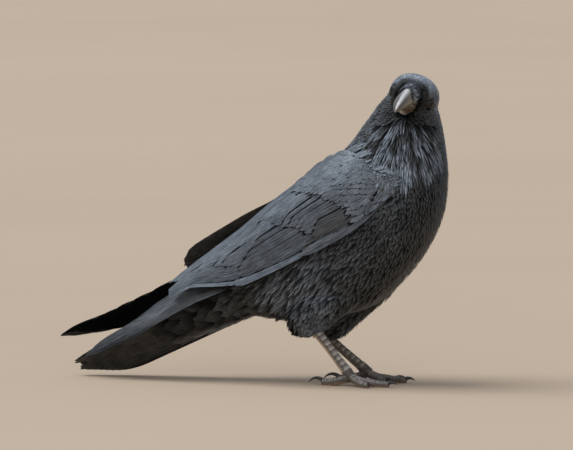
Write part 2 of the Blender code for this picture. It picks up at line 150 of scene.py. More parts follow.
# share of that width, from behind the heel to the foot
SHANK_SWELL = (
    (-0.13, 0.35), (-0.09, 0.85), (0.0, 1.2), (0.12, 1.0), (0.4, 0.9), (0.8, 1.0), (0.93, 1.15), (1.0, 1.0),
)
FOOT_BALL = 6.2
SINK = 0.8
TOES = {  # length, heading for a right foot, base and tip half width, claw length, claw bend
    "1": (36, 177, 4.8, 4.1, 25, 105),
    "2": (31, 24, 4.0, 3.6, 15, 85),
    "3": (48, 0, 4.4, 3.8, 15.5, 80),
    "4": (36, -32, 4.0, 3.6, 13.5, 80),
}
LEG_VOXEL = 0.55
SHANK_PLATES = 9
TOE_PLATE = 3.4

# ---- the coat ----------------------------------------------------------------------------------
SKIN_DEPTH = 3.6  # of the skin under the outside of the plumage
SKIN_VOXEL = 2.6
BODY_VOXEL = 3.0  # of the surface that the body's feathers lie on
SINKS = {"head": 1.4, "body": 2.4, "throat": 2.2}  # of the feathers' roots under it
HEAD_REACH = 50  # of the head's coat round the middle of the head
REAR_FROM = 20  # the x behind which the trunk's coat begins
WING_OVER = (9, 14)  # how far over a feather's root and tip a wing hides it
# the lie of the body's feathers: x, |y|, z; direction x, outward y, z; length, width, rise of the tip, then
# from 0 rounded to 1 pointed, from 0 tight to 1 loose, and how light: a tone raised where light falls, as
# painted sky sheen, and lowered underneath, as painted shade
LIE = (
    (30, 12, 325, -0.75, 0.1, -0.65, 11, 5, 0.4, 0.2, 0.1, 1.4),
    (0, 18, 285, -0.68, 0.05, -0.72, 16, 9, 0.4, 0.1, 0.1, 1.3),
    (-50, 18, 235, -0.78, 0.02, -0.62, 20, 13, 0.4, 0, 0.1, 1.2),
    (-110, 16, 172, -0.78, 0.02, -0.62, 24, 14, 0.5, 0, 0.1, 0.8),
    (-145, 10, 120, -0.8, 0, -0.6, 26, 15, 0.5, 0, 0.1, 0.6),
    (66, 30, 300, -0.25, 0.15, -0.95, 9, 3.6, 0.5, 0.5, 0.1, 1.1),
    (55, 45, 250, -0.35, 0.2, -0.92, 11, 4.5, 0.5, 0.3, 0.1, 0.8),
    (104, 0, 245, -0.02, 0, -1, 10, 3.5, 0.5, 0.7, 0.2, 0.6),
    (98, 25, 200, -0.12, 0.1, -1, 10, 3.5, 0.5, 0.7, 0.2, 0.5),
    (88, 0, 165, -0.35, 0, -0.95, 11, 3.8, 0.5, 0.7, 0.2, 0.4),
    (75, 32, 140, -0.5, 0.05, -0.85, 12, 4, 0.6, 0.7, 0.2, 0.5),
    (25, 25, 95, -0.88, 0, -0.45, 17, 5, 0.8, 0.8, 0.4, 0.4),
    (-40, 18, 76, -1, 0, -0.1, 22, 7, 1.2, 0.9, 0.8, 0.3),
    (-100, 10, 76, -0.95, 0, -0.25, 26, 10, 0.8, 0.4, 0.3, 0.4),
    (55, 55, 190, -0.5, 0.05, -0.88, 11, 4, 0.5, 0.7, 0.2, 0.7),
    (15, 60, 150, -0.66, 0, -0.75, 15, 4.8, 0.7, 0.8, 0.3, 0.9),
    (-30, 60, 125, -0.6, 0, -0.8, 27, 5.5, 1.2, 1, 0.4, 1.9),
    (-75, 50, 115, -0.62, 0, -0.78, 36, 6, 1.8, 1, 0.4, 2.6),
    (-105, 35, 105, -0.82, 0, -0.57, 30, 9, 0.8, 0.6, 0.3, 0.6),
    (15, 42, 92, -0.45, 0, -0.9, 17, 6.5, 0.8, 0.6, 0.3, 0.6),
    (-30, 48, 88, -0.4, 0, -0.92, 14, 6.5, 0.8, 0.4, 0.2, 1.3),
    (-38, 42, 72, -0.2, 0, -1, 10, 5, 0.6, 0.2, 0.2, 1.8),
    (-48, 34, 60, -0.05, 0, -1, 8, 4, 0.5, 0.2, 0.2, 1.7),
    (-72, 38, 72, -0.55, 0, -0.85, 22, 6, 1.6, 0.8, 1, 0.3),
    (-64, 30, 58, -0.6, 0, -0.8, 17, 5, 1.6, 0.8, 1, 0.3),
    (-165, 12, 84, -0.93, 0, -0.36, 42, 19, 0.3, 0.1, 0.1, 0.25),
    (-200, 14, 68, -0.93, 0, -0.36, 44, 20, 0.3, 0.1, 0.1, 0.25),
    (-165, 12, 98, -0.93, 0, -0.36, 38, 19, 0.4, 0, 0.1, 0.6),
)
# the same for the head, in the head's frame; the tone paints sky sheen on the light crown rows, and a
# shadow under the crown's edge on the very dark rows at the forehead's front and the lores
HEAD_LIE = (
    # painted shadow: very dark rows at the forehead's front, under the crown's edge
    (27, 0, 10, -1, 0.05, 0.6, 4.6, 2.2, 0.25, 0.3, 0.1, 0.05),
    (22, 0, 18, -1, 0.05, 0.25, 4.6, 2.2, 0.5, 0.3, 0.1, 0.08),
    (20, 12, 14, -1, 0.2, 0.15, 4.6, 2.2, 0.5, 0.3, 0.1, 0.08),
    (14, 0, 23, -1, 0.05, 0.1, 4.8, 2.5, 0.5, 0.3, 0.1, 6.5),
    (9, 14, 20, -1, 0.1, 0.05, 5, 2.6, 0.3, 0.3, 0.1, 6),
    (-12, 0, 25, -1, 0.05, -0.05, 6, 3.2, 0.3, 0.3, 0.1, 6),
    (-36, 0, 14, -0.8, 0.1, -0.6, 9, 4.6, 0.4, 0.2, 0.1, 2.8),
    # painted shadow: very dark rows on the lores, in front of the eye
    (22, 15, 0, -1, 0.25, 0.1, 4, 2, 0.25, 0.3, 0.1, 0.12),
    (14, 19, 2, -1, 0.25, 0.1, 4, 2, 0.25, 0.3, 0.1, 0.15),
    (6, 20, 12, -1, 0.15, 0.1, 4.5, 2.2, 0.25, 0.3, 0.1, 2.4),
    (-8, 27, 4, -1, 0, -0.1, 5, 2.6, 0.25, 0.3, 0.1, 3),
    (2, 24, -14, -0.95, 0.05, -0.35, 5.5, 2.4, 0.3, 0.5, 0.1, 0.7),
    (-26, 22, -8, -0.85, 0.05, -0.5, 8, 3.8, 0.4, 0.3, 0.1, 1.2),
    (14, 8, -20, -0.85, 0.1, -0.55, 6, 2.2, 0.5, 0.8, 0.2, 0.3),
    (0, 8, -27, -0.75, 0.1, -0.7, 9, 2.8, 0.6, 0.9, 0.3, 0.5),
)
CHIN = (16, 0, -19)  # in the head's frame
THROAT_TOP, THROAT_DROP = 5, 68  # of the beard's middle under the chin
THROAT_HALF, THROAT_BACK = 31, 40  # how far it spreads aside and back
THROAT_LENGTHS, THROAT_WIDTHS = (12, 30), (1.8, 3.4)
THROAT_FALL = (0.0, 0.0, -0.55)
THROAT_SPACING = 2.1
LOCKS = 120
# bright locks carry a painted glossy highlight and stand off; dark ones carry painted shade and dip into the
# gaps
LOCKS_BRIGHT = 0.6  # the share of them that is bright
LOCK_TONES, LOCK_SHADES = (1.6, 3.4), (0.3, 0.8)  # tones of the bright locks and of the dark ones
LOCK_RISES, LOCK_DIPS = (1.8, 3.6), (0.2, 1.4)  # how far their tips stand off
SPACING = 0.42  # between roots, as a share of the feathers' mean size
# how far the corners of a vane's tip fall back, as a share of its length
TIP_ROUND = {"scale": 0.16, "lancet": 0.02, "flight": 0.03}
BAKE_PATCH = 0.003  # of a feather's on the skin's unwrap
BRISTLE = (2.0, 0.7, 0.9, 0.4)  # width, rise, point, loose
LID_OPEN = 4.6  # radius of the lids' opening
EYE_AHEAD = 24  # degrees

# rows of wing feathers as (along, up) shares of the wing, undermost first: count, roots, tips,
# then width, outline, rise of the tip, lift of the lower edge, height, tone: raised on the upper rows as
# painted sky sheen, lowered on the wing's underside as painted shade
WING_ROWS = (
    (9, ((0.44, 0.0), (0.50, 0.46)), ((1.10, -0.02), (1.14, 0.14), (1.10, 0.34)),
     11, "flight", 1.0, 1.2, -1.9, 1.3),
    (6, ((0.30, 0.0), (0.38, 0.30)), ((0.80, -0.05), (0.775, 0.04), (0.735, 0.15), (0.67, 0.28)),
     13, "flight", 1.3, 1.5, -1.8, 1.4),
)
WING_COVERTS = (
    (9, ((0.14, 0.13), (0.34, 0.74)), ((0.43, 0.13), (0.48, 0.26), (0.55, 0.40), (0.64, 0.62)),
     14, "flight", 1.5, 1.4, -0.9, 1.8),
    (5, ((0.0, 0.0), (0.10, 0.12)), ((0.475, -0.07), (0.455, 0.0), (0.42, 0.06), (0.39, 0.12)),
     12, "flight", 1.5, 1.3, 0.0, 1.1),
    (13, ((0.06, 0.12), (0.26, 0.68)), ((0.24, 0.14), (0.33, 0.40), (0.44, 0.63)),
     12, "scale", 1.0, 0.7, 0.2, 2.2),
)
TERTIALS = {
    "right": (
        (5, ((0.40, 0.36), (0.42, 0.88)),
         ((0.85, 0.30), (0.90, 0.36), (0.98, 0.46), (1.06, 0.62), (1.13, 0.80)),
         13, "flight", 1.3, 1.5, -1.3, 2.1),
    ),
    # the far wing's tertials are darker: painted shade on the far wing
    "left": (
        (7, ((0.36, 0.36), (0.28, 0.97)), ((0.80, 0.27), (0.89, 0.42), (0.95, 0.62), (1.0, 0.84)),
         16, "flight", 0.8, 0.6, -1.2, 0.9),
    ),
}
INNER_ROWS = (
    (7, ((0.30, 0.06), (0.26, 0.94)), ((0.88, 0.03), (0.97, 0.20), (1.0, 0.50), (1.0, 0.86)),
     26, "flight", 0.3, -0.4, 0.1, 0.7),
)
HAND_ROWS = (
    (4, ((0.0, 0.04), (0.0, 0.30)), ((0.80, 0.06), (0.93, 0.16), (1.0, 0.30)),
     15, "flight", 0.2, 0.6, -0.6, 0.6),
    (7, ((0.0, 0.30), (0.0, 0.95)), ((0.98, 0.5), (0.86, 0.52), (0.70, 0.68), (0.57, 0.84), (0.39, 0.93)),
     14, "flight", 0.2, 0.7, -0.3, 1.1),
)
WING_BEYOND = np.array((-290, 0, -185))  # the way on past the wing's end, per share along
SCAPULAR_EDGE = (  # along, up
    (-0.05, 0.46), (0.04, 0.58), (0.12, 0.66), (0.21, 0.66), (0.30, 0.62), (0.38, 0.66), (0.50, 0.80),
)
# fields of rounded wing feathers: from and to along; below or above the scapular edge; length, steps, width,
# outline, rise, lift, height, tone
SCALE_FIELDS = (
    ((-0.05, 0.21), "below", 0.066, (0.022, 0.080), 10, "scale", 0.5, 0.2, 1.0, 2.2),
    ((0.09, 0.42), "above", 0.080, (0.034, 0.12), 13, "scale", 0.6, 0.2, 1.3, 2.2),
)
PATH_STEPS = 24  # of a wing feather's middle line
TIP_SCATTER = (0.005, 0.004)
WING_REACH = {-1: 1.09, 1: 0.985}  # of the longest tips, on the right and on the left
# strength of the painted sheen streaks on the wings
WING_SHEEN_STREAKS = 0.45
HAND_FADE = 0.5
COVERED = 7  # how close over a vane the next one lies
# the value a covered place gets, which the feather material turns into painted shade
COVERED_SHADE = -0.35  # how bare a covered place is said to be
BESIDE = (0.2, 3.4)  # how steeply to look for one beside it, and how far
SUNK = 24  # how deep the front of a wing may lie in the trunk
# where the wing's coat shows instead of the body's: along, and up as a share of the scapular edge
WING_FRONT = ((0.0, 0.32), (0.0, 0.7))
TAIL_VANE = 0.31  # half a vane's width, as a share of the half tail's
TAIL_VANE_AT = (0.2, 0.70)  # where the innermost and outermost vanes' middles lie
# the tail's tone, lower than the wings': painted shade on the tail under the body
TAIL_TONE = 0.5
TAIL_THICK = 5
COVERT_REACH = {"above": 70, "below": 128}  # from the tail's root

# ---- colours, light and camera -----------------------------------------------------------------
FEATHER_BLACK = 0.036
# painted reflections in the coat's colour: warm floor bounce on the darker tones, blue sky sheen on the
# lighter ones
FLOOR_BOUNCE_CAST = np.array([1.10, 1.0, 0.88])
SKY_SHEEN_CAST = np.array([0.86, 0.98, 1.18])
FEATHER_ROUGH = 0.38
BARB = 0.0007
SHAFT = 0.00045
STREAK_SCALE = 620
STREAK_STRETCH = 0.09
HORN_DARK = (0.046, 0.041, 0.036)
# painted on the bill: a highlight along the ridge, a tan floor reflection on the sides, and a tan floor
# reflection over the lower mandible's horn
HORN_RIDGE_HIGHLIGHT = (0.62, 0.62, 0.63)
HORN_SIDE_REFLECTION = (0.062, 0.048, 0.034)
HORN_LOWER_REFLECTED = (0.088, 0.064, 0.043)
# per piece of the bill: node, keys, horn (the lower one tan with a painted floor reflection), and the bristles
# over its base: how many, from and to ahead of the eyes, how far their tips reach, turns round the bill,
# height at the roots, from and to tone (light on top as painted sheen, dark under the bill as painted shade)
BILL_HALVES = {
    "bill_top": ("bill_upper", BILL_UPPER_KEYS, HORN_DARK, (1200, 18, 44, 53, (24, 156), 3.6, (2.4, 6.0))),
    "bill_bottom": ("bill_lower", BILL_LOWER_KEYS, HORN_LOWER_REFLECTED, (260, 14, 22, 27, (215, 325), 2, (0.3, 0.8))),
}
EYE_BLACK = (0.003, 0.003, 0.003)
EYE_IRIS = (0.016, 0.009, 0.005)
LID_TINT = (0.006, 0.006, 0.0065)
# the near right leg is paler, with painted light, and the far left leg darker, with painted shade
LEG_COLOURS = {
    "right": {"skin": (0.08, 0.068, 0.06), "plate": (0.38, 0.35, 0.33), "rear": (0.50, 0.38, 0.26),
              "pad": (0.36, 0.25, 0.17)},
    "left": {"skin": (0.05, 0.04, 0.033), "plate": (0.21, 0.175, 0.15), "rear": (0.18, 0.14, 0.10),
             "pad": (0.25, 0.18, 0.12)},
}
CLAW_COLOURS = ((0.012, 0.011, 0.011), (0.045, 0.042, 0.042))
FLOOR_COLOURS = ((0.53, 0.41, 0.30), (0.56, 0.44, 0.33))
FLOOR_RADIUS = 60
WORLD_COLOUR = (0.74, 0.80, 0.88)
WORLD_STRENGTH = 0.45
CAMERA_AZIMUTH = 20
CAMERA_ELEVATION = 4
CAMERA_DISTANCE = 12
CAMERA_AIM = (-82.2, 182.85)
FRAME_WIDTH = 0.659
SUNS = (  # name, direction to it, strength, softness in degrees, colour
    ("sky", (-0.5, -0.15, 1.0), 2.1, 45, (0.94, 0.97, 1.0)),
    ("front", (0.6, -1.0, 0.5), 0.8, 60, (1.0, 0.97, 0.93)),
)
FLESH = ("trunk", "neck", "head", "thigh_left", "thigh_right", "wing_left", "wing_right", "tail")
BODY_FLESH = ("trunk", "neck", "head", "thigh_left", "thigh_right", "tail")


# ---- curves, frames and surfaces ---------------------------------------------------------------
def unit(v):
    return v / np.maximum(np.linalg.norm(v, axis=-1, keepdims=True), 1e-9)


def spline(keys, t):
    """Catmull-Rom curve through rows of numbers, at every t from 0 to 1."""
    keys = np.asarray(keys, float)
    last = len(keys) - 1
    t = np.clip(np.asarray(t, float), 0, 1) * last
    i = np.minimum(t.astype(int), last - 1)
    f = (t - i)[..., None]
    p1, p2 = keys[i], keys[i + 1]
    p0 = np.where((i > 0)[..., None], keys[np.maximum(i - 1, 0)], 2 * p1 - p2)
    p3 = np.where((i + 2 <= last)[..., None], keys[np.minimum(i + 2, last)], 2 * p2 - p1)
    square, cube = 2 * p0 - 5 * p1 + 4 * p2 - p3, 3 * p1 - p0 - 3 * p2 + p3
    return 0.5 * (2 * p1 + (p2 - p0) * f + square * f**2 + cube * f**3)


def between(keys, count):
    return spline(keys, np.linspace(0, 1, count))


def head_axes():
    """Rows: the head's forward, left and up directions."""
    forward = unit(HEAD_FORWARD)
    left = unit(HEAD_LEFT - forward * (HEAD_LEFT @ forward))
    return np.array([forward, left, np.cross(forward, left)])


def tail_axes():
    """Rows: the tail's backward, left and up directions."""
    pitch, roll = math.radians(TAIL_PITCH), math.radians(TAIL_ROLL)
    back = np.array([-math.cos(pitch), 0, -math.sin(pitch)])
    left = LEFT * math.cos(roll) + np.cross(back, LEFT) * math.sin(roll)
    return np.array([back, left, np.cross(left, back)])


HEAD_AXES = head_axes()
TAIL_AXES = tail_axes()
THROAT_SIDE = unit(np.cross(UP, HEAD_FORWARD))


def from_head(p):
    return HEAD_AT + np.asarray(p, float) @ HEAD_AXES


def to_head(p):
    return (p - HEAD_AT) @ HEAD_AXES.T


def find_shift():
    """Where the design origin lies in the frame, in metres: the eyes tell."""
    middles = [sum(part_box("eye_" + name), Vector()) / 2 for name in SIDES]
    return np.array(middles).mean(0) - from_head(EYE_AT * (1, 0, 1)) * MM


SHIFT = find_shift()


def placed(points):
    return np.asarray(points) * MM + SHIFT


def read(items, name, width, kind=float):
    values = np.empty(len(items) * width, kind)
    items.foreach_get(name, values)
    return values.reshape(-1, width)


def mesh_arrays(mesh):
    """Vertices in design millimetres, and triangles."""
    mesh.calc_loop_triangles()
    return (read(mesh.vertices, "co", 3) - SHIFT) / MM, read(mesh.loop_triangles, "vertices", 3, int)


def add_object(name, data):
    obj = bpy.data.objects.new(name, data)
    bpy.context.scene.collection.objects.link(obj)
    return obj


def bmesh_object(bm, name):
    mesh = bpy.data.meshes.new(name)
    bm.to_mesh(mesh)
    bm.free()
    return add_object(name, mesh)


def remeshed(bm, voxel, smooth):
    """One closed mesh round all the solids of a bmesh."""
    obj = bmesh_object(bm, "solids")
    remesh = obj.modifiers.new("remesh", "REMESH")
    remesh.mode = "VOXEL"
    remesh.voxel_size = voxel
    obj.modifiers.new("relax", "SMOOTH").iterations = smooth
    made = bpy.data.meshes.new_from_object(obj.evaluated_get(bpy.context.evaluated_depsgraph_get()))
    bpy.data.objects.remove(obj)
    return made


def cad_union(nodes, voxel, smooth):
    bm = bmesh.new()
    for node in nodes:
        bm.from_mesh(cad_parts[node].data)
    return remeshed(bm, voxel * MM, smooth)


def cad_tree(*nodes):
    vertices, tris = zip(*(mesh_arrays(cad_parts[node].data) for node in nodes))
    starts = np.cumsum([0, *map(len, vertices)])
    tris = [part + start for part, start in zip(tris, starts)]
    return BVHTree.FromPolygons(np.concatenate(vertices).tolist(), np.concatenate(tris).tolist())


def point_tree(points):
    tree = KDTree(len(points))
    for i, p in enumerate(points.tolist()):
        tree.insert(p, i)
    tree.balance()
    return tree


def cast(tree, points, ways, *reach):
    """What rays from points meet, as (place, normal, face, distance), each None on a miss."""
    pairs = zip(points.reshape(-1, 3).tolist(), ways.reshape(-1, 3).tolist())
    return [tree.ray_cast(p, way, *reach) for p, way in pairs]


def blocked(tree, points, ways, reach):
    return np.array([hit[0] is not None for hit in cast(tree, points, ways, reach)], bool)


def lifts(tree, points, ways):
    """How far points inside a body must move along ways to come out of it."""
    hits = zip(cast(tree, points, ways, SUNK), ways.reshape(-1, 3).tolist())
    far = [hit[3] if hit[3] and hit[1].dot(Vector(way)) > 0 else 0.0 for hit, way in hits]
    return np.array(far).reshape(*points.shape[:-1], 1)


class Surface:
    """A closed surface that feathers lie on."""

    def __init__(self, mesh):
        self.vertices, self.tris = mesh_arrays(mesh)
        a, b, c = self.corners(self.vertices, slice(None))
        facing = np.cross(b - a, c - a)
        self.areas = np.linalg.norm(facing, axis=1) / 2
        normals = np.zeros_like(self.vertices)
        for k in range(3):
            np.add.at(normals, self.tris[:, k], facing)
        self.normals = unit(normals)
        self.tree = BVHTree.FromPolygons(self.vertices.tolist(), self.tris.tolist(), all_triangles=True)

    def corners(self, values, faces):
        return [values[self.tris[faces, k]] for k in range(3)]

    def facing(self, faces, points):
        """Smooth normals at points that lie on faces."""
        a, b, c = self.corners(self.vertices, faces)
        ab, ac, ap = b - a, c - a, points - a
        d00, d01, d11 = (ab * ab).sum(1), (ab * ac).sum(1), (ac * ac).sum(1)
        d20, d21 = (ap * ab).sum(1), (ap * ac).sum(1)
        area = np.maximum(d00 * d11 - d01 * d01, 1e-12)
        v = np.clip((d11 * d20 - d01 * d21) / area, 0, 1)[:, None]
        w = np.clip((d00 * d21 - d01 * d20) / area, 0, 1)[:, None]
        a, b, c = self.corners(self.normals, faces)
        return unit(a * (1 - v - w) + b * v + c * w)

    def nearest(self, points):
        """The nearest places and their smooth normals."""
        hits = [self.tree.find_nearest(p) for p in points.reshape(-1, 3).tolist()]
        at = np.array([hit[0] for hit in hits])
        normals = self.facing([hit[2] for hit in hits], at)
        return at.reshape(points.shape), normals.reshape(points.shape)

    def scatter(self, radius_at, fill=9.0):
        """Random places on the surface, each its own radius clear of the next, and their normals."""
        radius = radius_at(self.vertices[self.tris].mean(1))
        share = self.areas / radius**2
        count = int(share.sum() * fill)
        faces = RANDOM.choice(len(share), count, p=share / share.sum())
        r1, r2 = np.sqrt(RANDOM.random((count, 1))), RANDOM.random((count, 1))
        a, b, c = self.corners(self.vertices, faces)
        points = a * (1 - r1) + b * (r1 * (1 - r2)) + c * (r1 * r2)
        tree = point_tree(points)
        free = np.ones(count, bool)
        kept = []
        for i, p in enumerate(points.tolist()):
            if free[i]:
                kept.append(i)
                for _, j, _ in tree.find_range(p, radius[faces[i]]):
                    free[j] = False
        return points[kept], self.facing(faces[kept], points[kept])


class Skin(Surface):
    """The skin's surface, which knows where its places lie on its own unwrap."""

    def __init__(self, mesh):
        super().__init__(mesh)
        loops = read(mesh.loop_triangles, "loops", 3, int)
        self.unwrapped = read(mesh.uv_layers["OFBake"].data, "uv", 2)[loops]

    def spots(self, points):
        return self.unwrapped[[self.tree.find_nearest(p)[2] for p in points.tolist()]].mean(1)


# ---- pieces ------------------------------------------------------------------------------------
def quads(rows, cols, ring=False, torus=False):
    """Faces over a grid of points; a ring's last column meets its first, and a torus's last row too."""
    i = np.arange(rows * cols).reshape(rows, cols)
    if ring or torus:
        i = np.column_stack([i, i[:, 0]])
    if torus:
        i = np.vstack([i, i[0]])
    return np.stack([i[:-1, :-1], i[:-1, 1:], i[1:, 1:], i[1:, :-1]], -1).reshape(-1, 4)


def new_mesh(name, points, faces):
    mesh = bpy.data.meshes.new(name)
    mesh.from_pydata(placed(points).tolist(), [], faces)
    return mesh


def finish_piece(name, mesh, tints, material, nodes):
    """Makes a mesh one of the model's pieces, with a tint per vertex."""
    mesh.shade_smooth()
    if tints.shape[1] == 3:
        tints = np.column_stack([tints, np.ones(len(tints))])
    colour = mesh.color_attributes.new("tint", "FLOAT_COLOR", "POINT")
    colour.data.foreach_set("color", tints.reshape(-1))
    mesh.materials.append(material)
    piece = add_object(name, mesh)
    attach(piece, "root")
    if nodes:
        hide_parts(*nodes)
    return piece


def tube_piece(name, rings, tints, material, node):
    """A closed tube through rings of points, with a tint per point, capped by its end rings' middles."""
    rows, around = rings.shape[:2]
    ends = [0, -1]
    points, tints = (np.concatenate([v.reshape(-1, 3), v[ends].mean(1)]) for v in (rings, tints))
    faces = quads(rows, around, ring=True).tolist()
    base = (rows - 1) * around
    for i in range(around):
        j = (i + 1) % around
        faces += [[j, i, rows * around], [base + i, base + j, rows * around + 1]]
    return finish_piece(name, new_mesh(name, points, faces), tints, material, (node,))


# ---- vanes -------------------------------------------------------------------------------------
def outline(kind, v):
    """Half width of a vane, as a share of its widest, at v from root to tip."""
    if kind == "scale":
        rise = 0.5 + 0.5 * np.sin(np.pi / 2 * np.minimum(v / 0.55, 1))
        return rise * np.sqrt(np.maximum(1 - (np.maximum(v - 0.55, 0) / 0.5) ** 2, 0))
    if kind == "lancet":
        rise = 0.55 + 0.45 * np.sin(np.pi / 2 * np.minimum(v / 0.35, 1))
        return rise * np.maximum(1 - np.maximum(v - 0.35, 0) / 0.68, 0) ** 0.7
    rise = 0.45 + 0.55 * np.minimum(v / 0.15, 1)
    return rise * np.sqrt(np.maximum(1 - (np.maximum(v - 0.84, 0) / 0.168) ** 2, 0))


def template(kind, rows, cols):
    """Grids of the share of the length, and of the half width, over a vane."""
    v = np.linspace(0, 1, rows + 1)[:, None] ** (0.8 if kind == "flight" else 1)
    u = np.linspace(-1, 1, cols + 1)[None]
    return v - TIP_ROUND[kind] * u**2 * np.maximum(v - 0.5, 0) * 2, u * outline(kind, v)


def coat_colour(tone):
    """Raven black, with painted reflections: bluer where it is lighter, a painted sky sheen, and browner where
    it is darker, a painted warm bounce from the floor.
    """
    tone = tone[..., None]
    blue = np.clip((tone - 0.5) / 0.9, 0, 1)
    return FEATHER_BLACK * tone * (FLOOR_BOUNCE_CAST * (1 - blue) + SKY_SHEEN_CAST * blue)


class Coat:
    """Vanes that become one mesh."""

    def __init__(self):
        self.points, self.faces, self.tints, self.ways = [], [], [], []
        self.maps = {"OFBake": [], "Vane": [], "Shown": []}
        self.count = 0

    def add(self, grid, barbs, tone, roots, painted_light, sheen_streaks, mirrored=False):
        """Per vane, row and column: grid, barbs (mm across and along), painted_light (across: painted shade
        where covered and a painted highlight on the exposed edge; along: painted shade at the root). Per vane:
        tone, root and strength of the painted sheen streaks."""
        vanes, rows, cols = grid.shape[:3]
        faces = quads(rows, cols)[:, (1, 2, 3, 0) if mirrored else (0, 3, 2, 1)]
        starts = self.count + np.arange(vanes) * rows * cols
        self.points.append(grid.reshape(-1, 3))
        self.faces.append((faces[None] + starts[:, None, None]).reshape(-1, 4))
        share = np.stack(np.meshgrid(np.linspace(0, 1, rows), np.linspace(0, 1, cols), indexing="ij"), -1)
        patch = (share[None] - 0.5) * BAKE_PATCH + SKIN.spots(roots)[:, None, None]
        for name, values in (("OFBake", patch), ("Vane", barbs * MM), ("Shown", painted_light)):
            self.maps[name].append(values.reshape(-1, 2))
        tints = np.column_stack([coat_colour(tone), np.broadcast_to(sheen_streaks, vanes)])
        self.tints.append(np.repeat(tints, rows * cols, 0))
        self.count += vanes * rows * cols

    def shade_covered(self):
        """Paints shade where other vanes lie over or beside: the painted light across drops below 0 there."""
        points = np.concatenate(self.points)
        tree = BVHTree.FromPolygons(points.tolist(), np.concatenate(self.faces).tolist())
        outward, upward, back = np.concatenate(self.ways).transpose(1, 0, 2)
        starts = points + outward * 0.12
        covered = blocked(tree, starts, outward, COVERED)
        for aside in (upward, back):
            covered |= blocked(tree, starts, unit(outward * BESIDE[0] + aside), BESIDE[1])
        painted_light = np.concatenate(self.maps["Shown"])
        painted_light[covered, 0] = COVERED_SHADE
        self.maps["Shown"] = [painted_light]

    def make(self, name, node):
        faces = np.concatenate(self.faces)
        mesh = new_mesh(name, np.concatenate(self.points), faces.tolist())
        for map_name, values in self.maps.items():
            layer = mesh.uv_layers.new(name=map_name)
            layer.data.foreach_set("uv", np.concatenate(values)[faces.reshape(-1)].reshape(-1))
        finish_piece(name, mesh, np.concatenate(self.tints), FEATHER, (node,))


# ---- materials ---------------------------------------------------------------------------------
class Nodes:
    """Short calls for building a material. A node's inputs are values or other nodes' outputs."""

    def __init__(self, name):
        self.material = bpy.data.materials.new(name)
        self.material.use_nodes = True
        self.tree = self.material.node_tree
        self.shader = self.tree.nodes["Principled BSDF"]

    def feed(self, node, inputs):
        for key, value in inputs.items():
            if isinstance(value, bpy.types.NodeSocket):
                self.tree.links.new(value, node.inputs[key])
            else:
                node.inputs[key].default_value = value

    def add(self, kind, output, inputs=None, **settings):
        node = self.tree.nodes.new("ShaderNode" + kind)
        for key, value in settings.items():
            setattr(node, key, value)
        self.feed(node, inputs or {})
        return node.outputs[output]

    def math(self, operation, a, b=0.5):
        return self.add("Math", 0, {0: a, 1: b}, operation=operation)

    def times(self, *values):
        return functools.reduce(lambda a, b: self.math("MULTIPLY", a, b), values)

    def plus(self, *values):
        return functools.reduce(lambda a, b: self.math("ADD", a, b), values)

    def uv(self, name):
        return self.add("UVMap", "UV", uv_map=name)

    def axis(self, vector, axis):
        return self.add("SeparateXYZ", axis, {0: vector})

    def place(self):
        return self.add("TexCoord", "Object")

    def stretched(self, vector, share):
        return self.add("Mapping", "Vector", {"Vector": vector, "Scale": (1.0, share, 1.0)})

    def noise(self, scale, detail=4.0, roughness=0.55, vector=None):
        inputs = {"Scale": scale, "Detail": detail, "Roughness": roughness, "Vector": vector or self.place()}
        return self.add("TexNoise", "Fac", inputs)

    def span(self, value, low, high, to_low, to_high):
        ends = {"From Min": low, "From Max": high, "To Min": to_low, "To Max": to_high}
        return self.add("MapRange", "Result", {"Value": value, **ends})

    def vary(self, noise, low, high):
        """Most of a noise's values, spread from low to high."""
        return self.span(noise, 0.3, 0.7, low, high)

    def mixed(self, noise, *colours):
        node = self.tree.nodes.new("ShaderNodeValToRGB")
        for stop, at, colour in zip(node.color_ramp.elements, (0.3, 0.7), colours):
            stop.position = at
            stop.color = (*colour, 1)
        self.feed(node, {"Fac": noise})
        return node.outputs["Color"]

    def tint(self, output="Color"):
        return self.add("Attribute", output, attribute_name="tint")

    def tinted(self, level):
        """The piece's own tint, darker or lighter by level."""
        grey = self.add("CombineColor", "Color", {0: level, 1: level, 2: level})
        return self.add("Mix", 2, {0: 1.0, 6: self.tint(), 7: grey}, data_type="RGBA", blend_type="MULTIPLY")

    def bump(self, height, strength, distance):
        bump = self.add("Bump", "Normal", {"Strength": strength, "Distance": distance, "Height": height})
        self.feed(self.shader, {"Normal": bump})

    def finish(self, colour, rough, **others):
        self.feed(self.shader, {"Base Color": colour, "Roughness": rough})
        self.feed(self.shader, {key.replace("_", " "): value for key, value in others.items()})
        return self.material


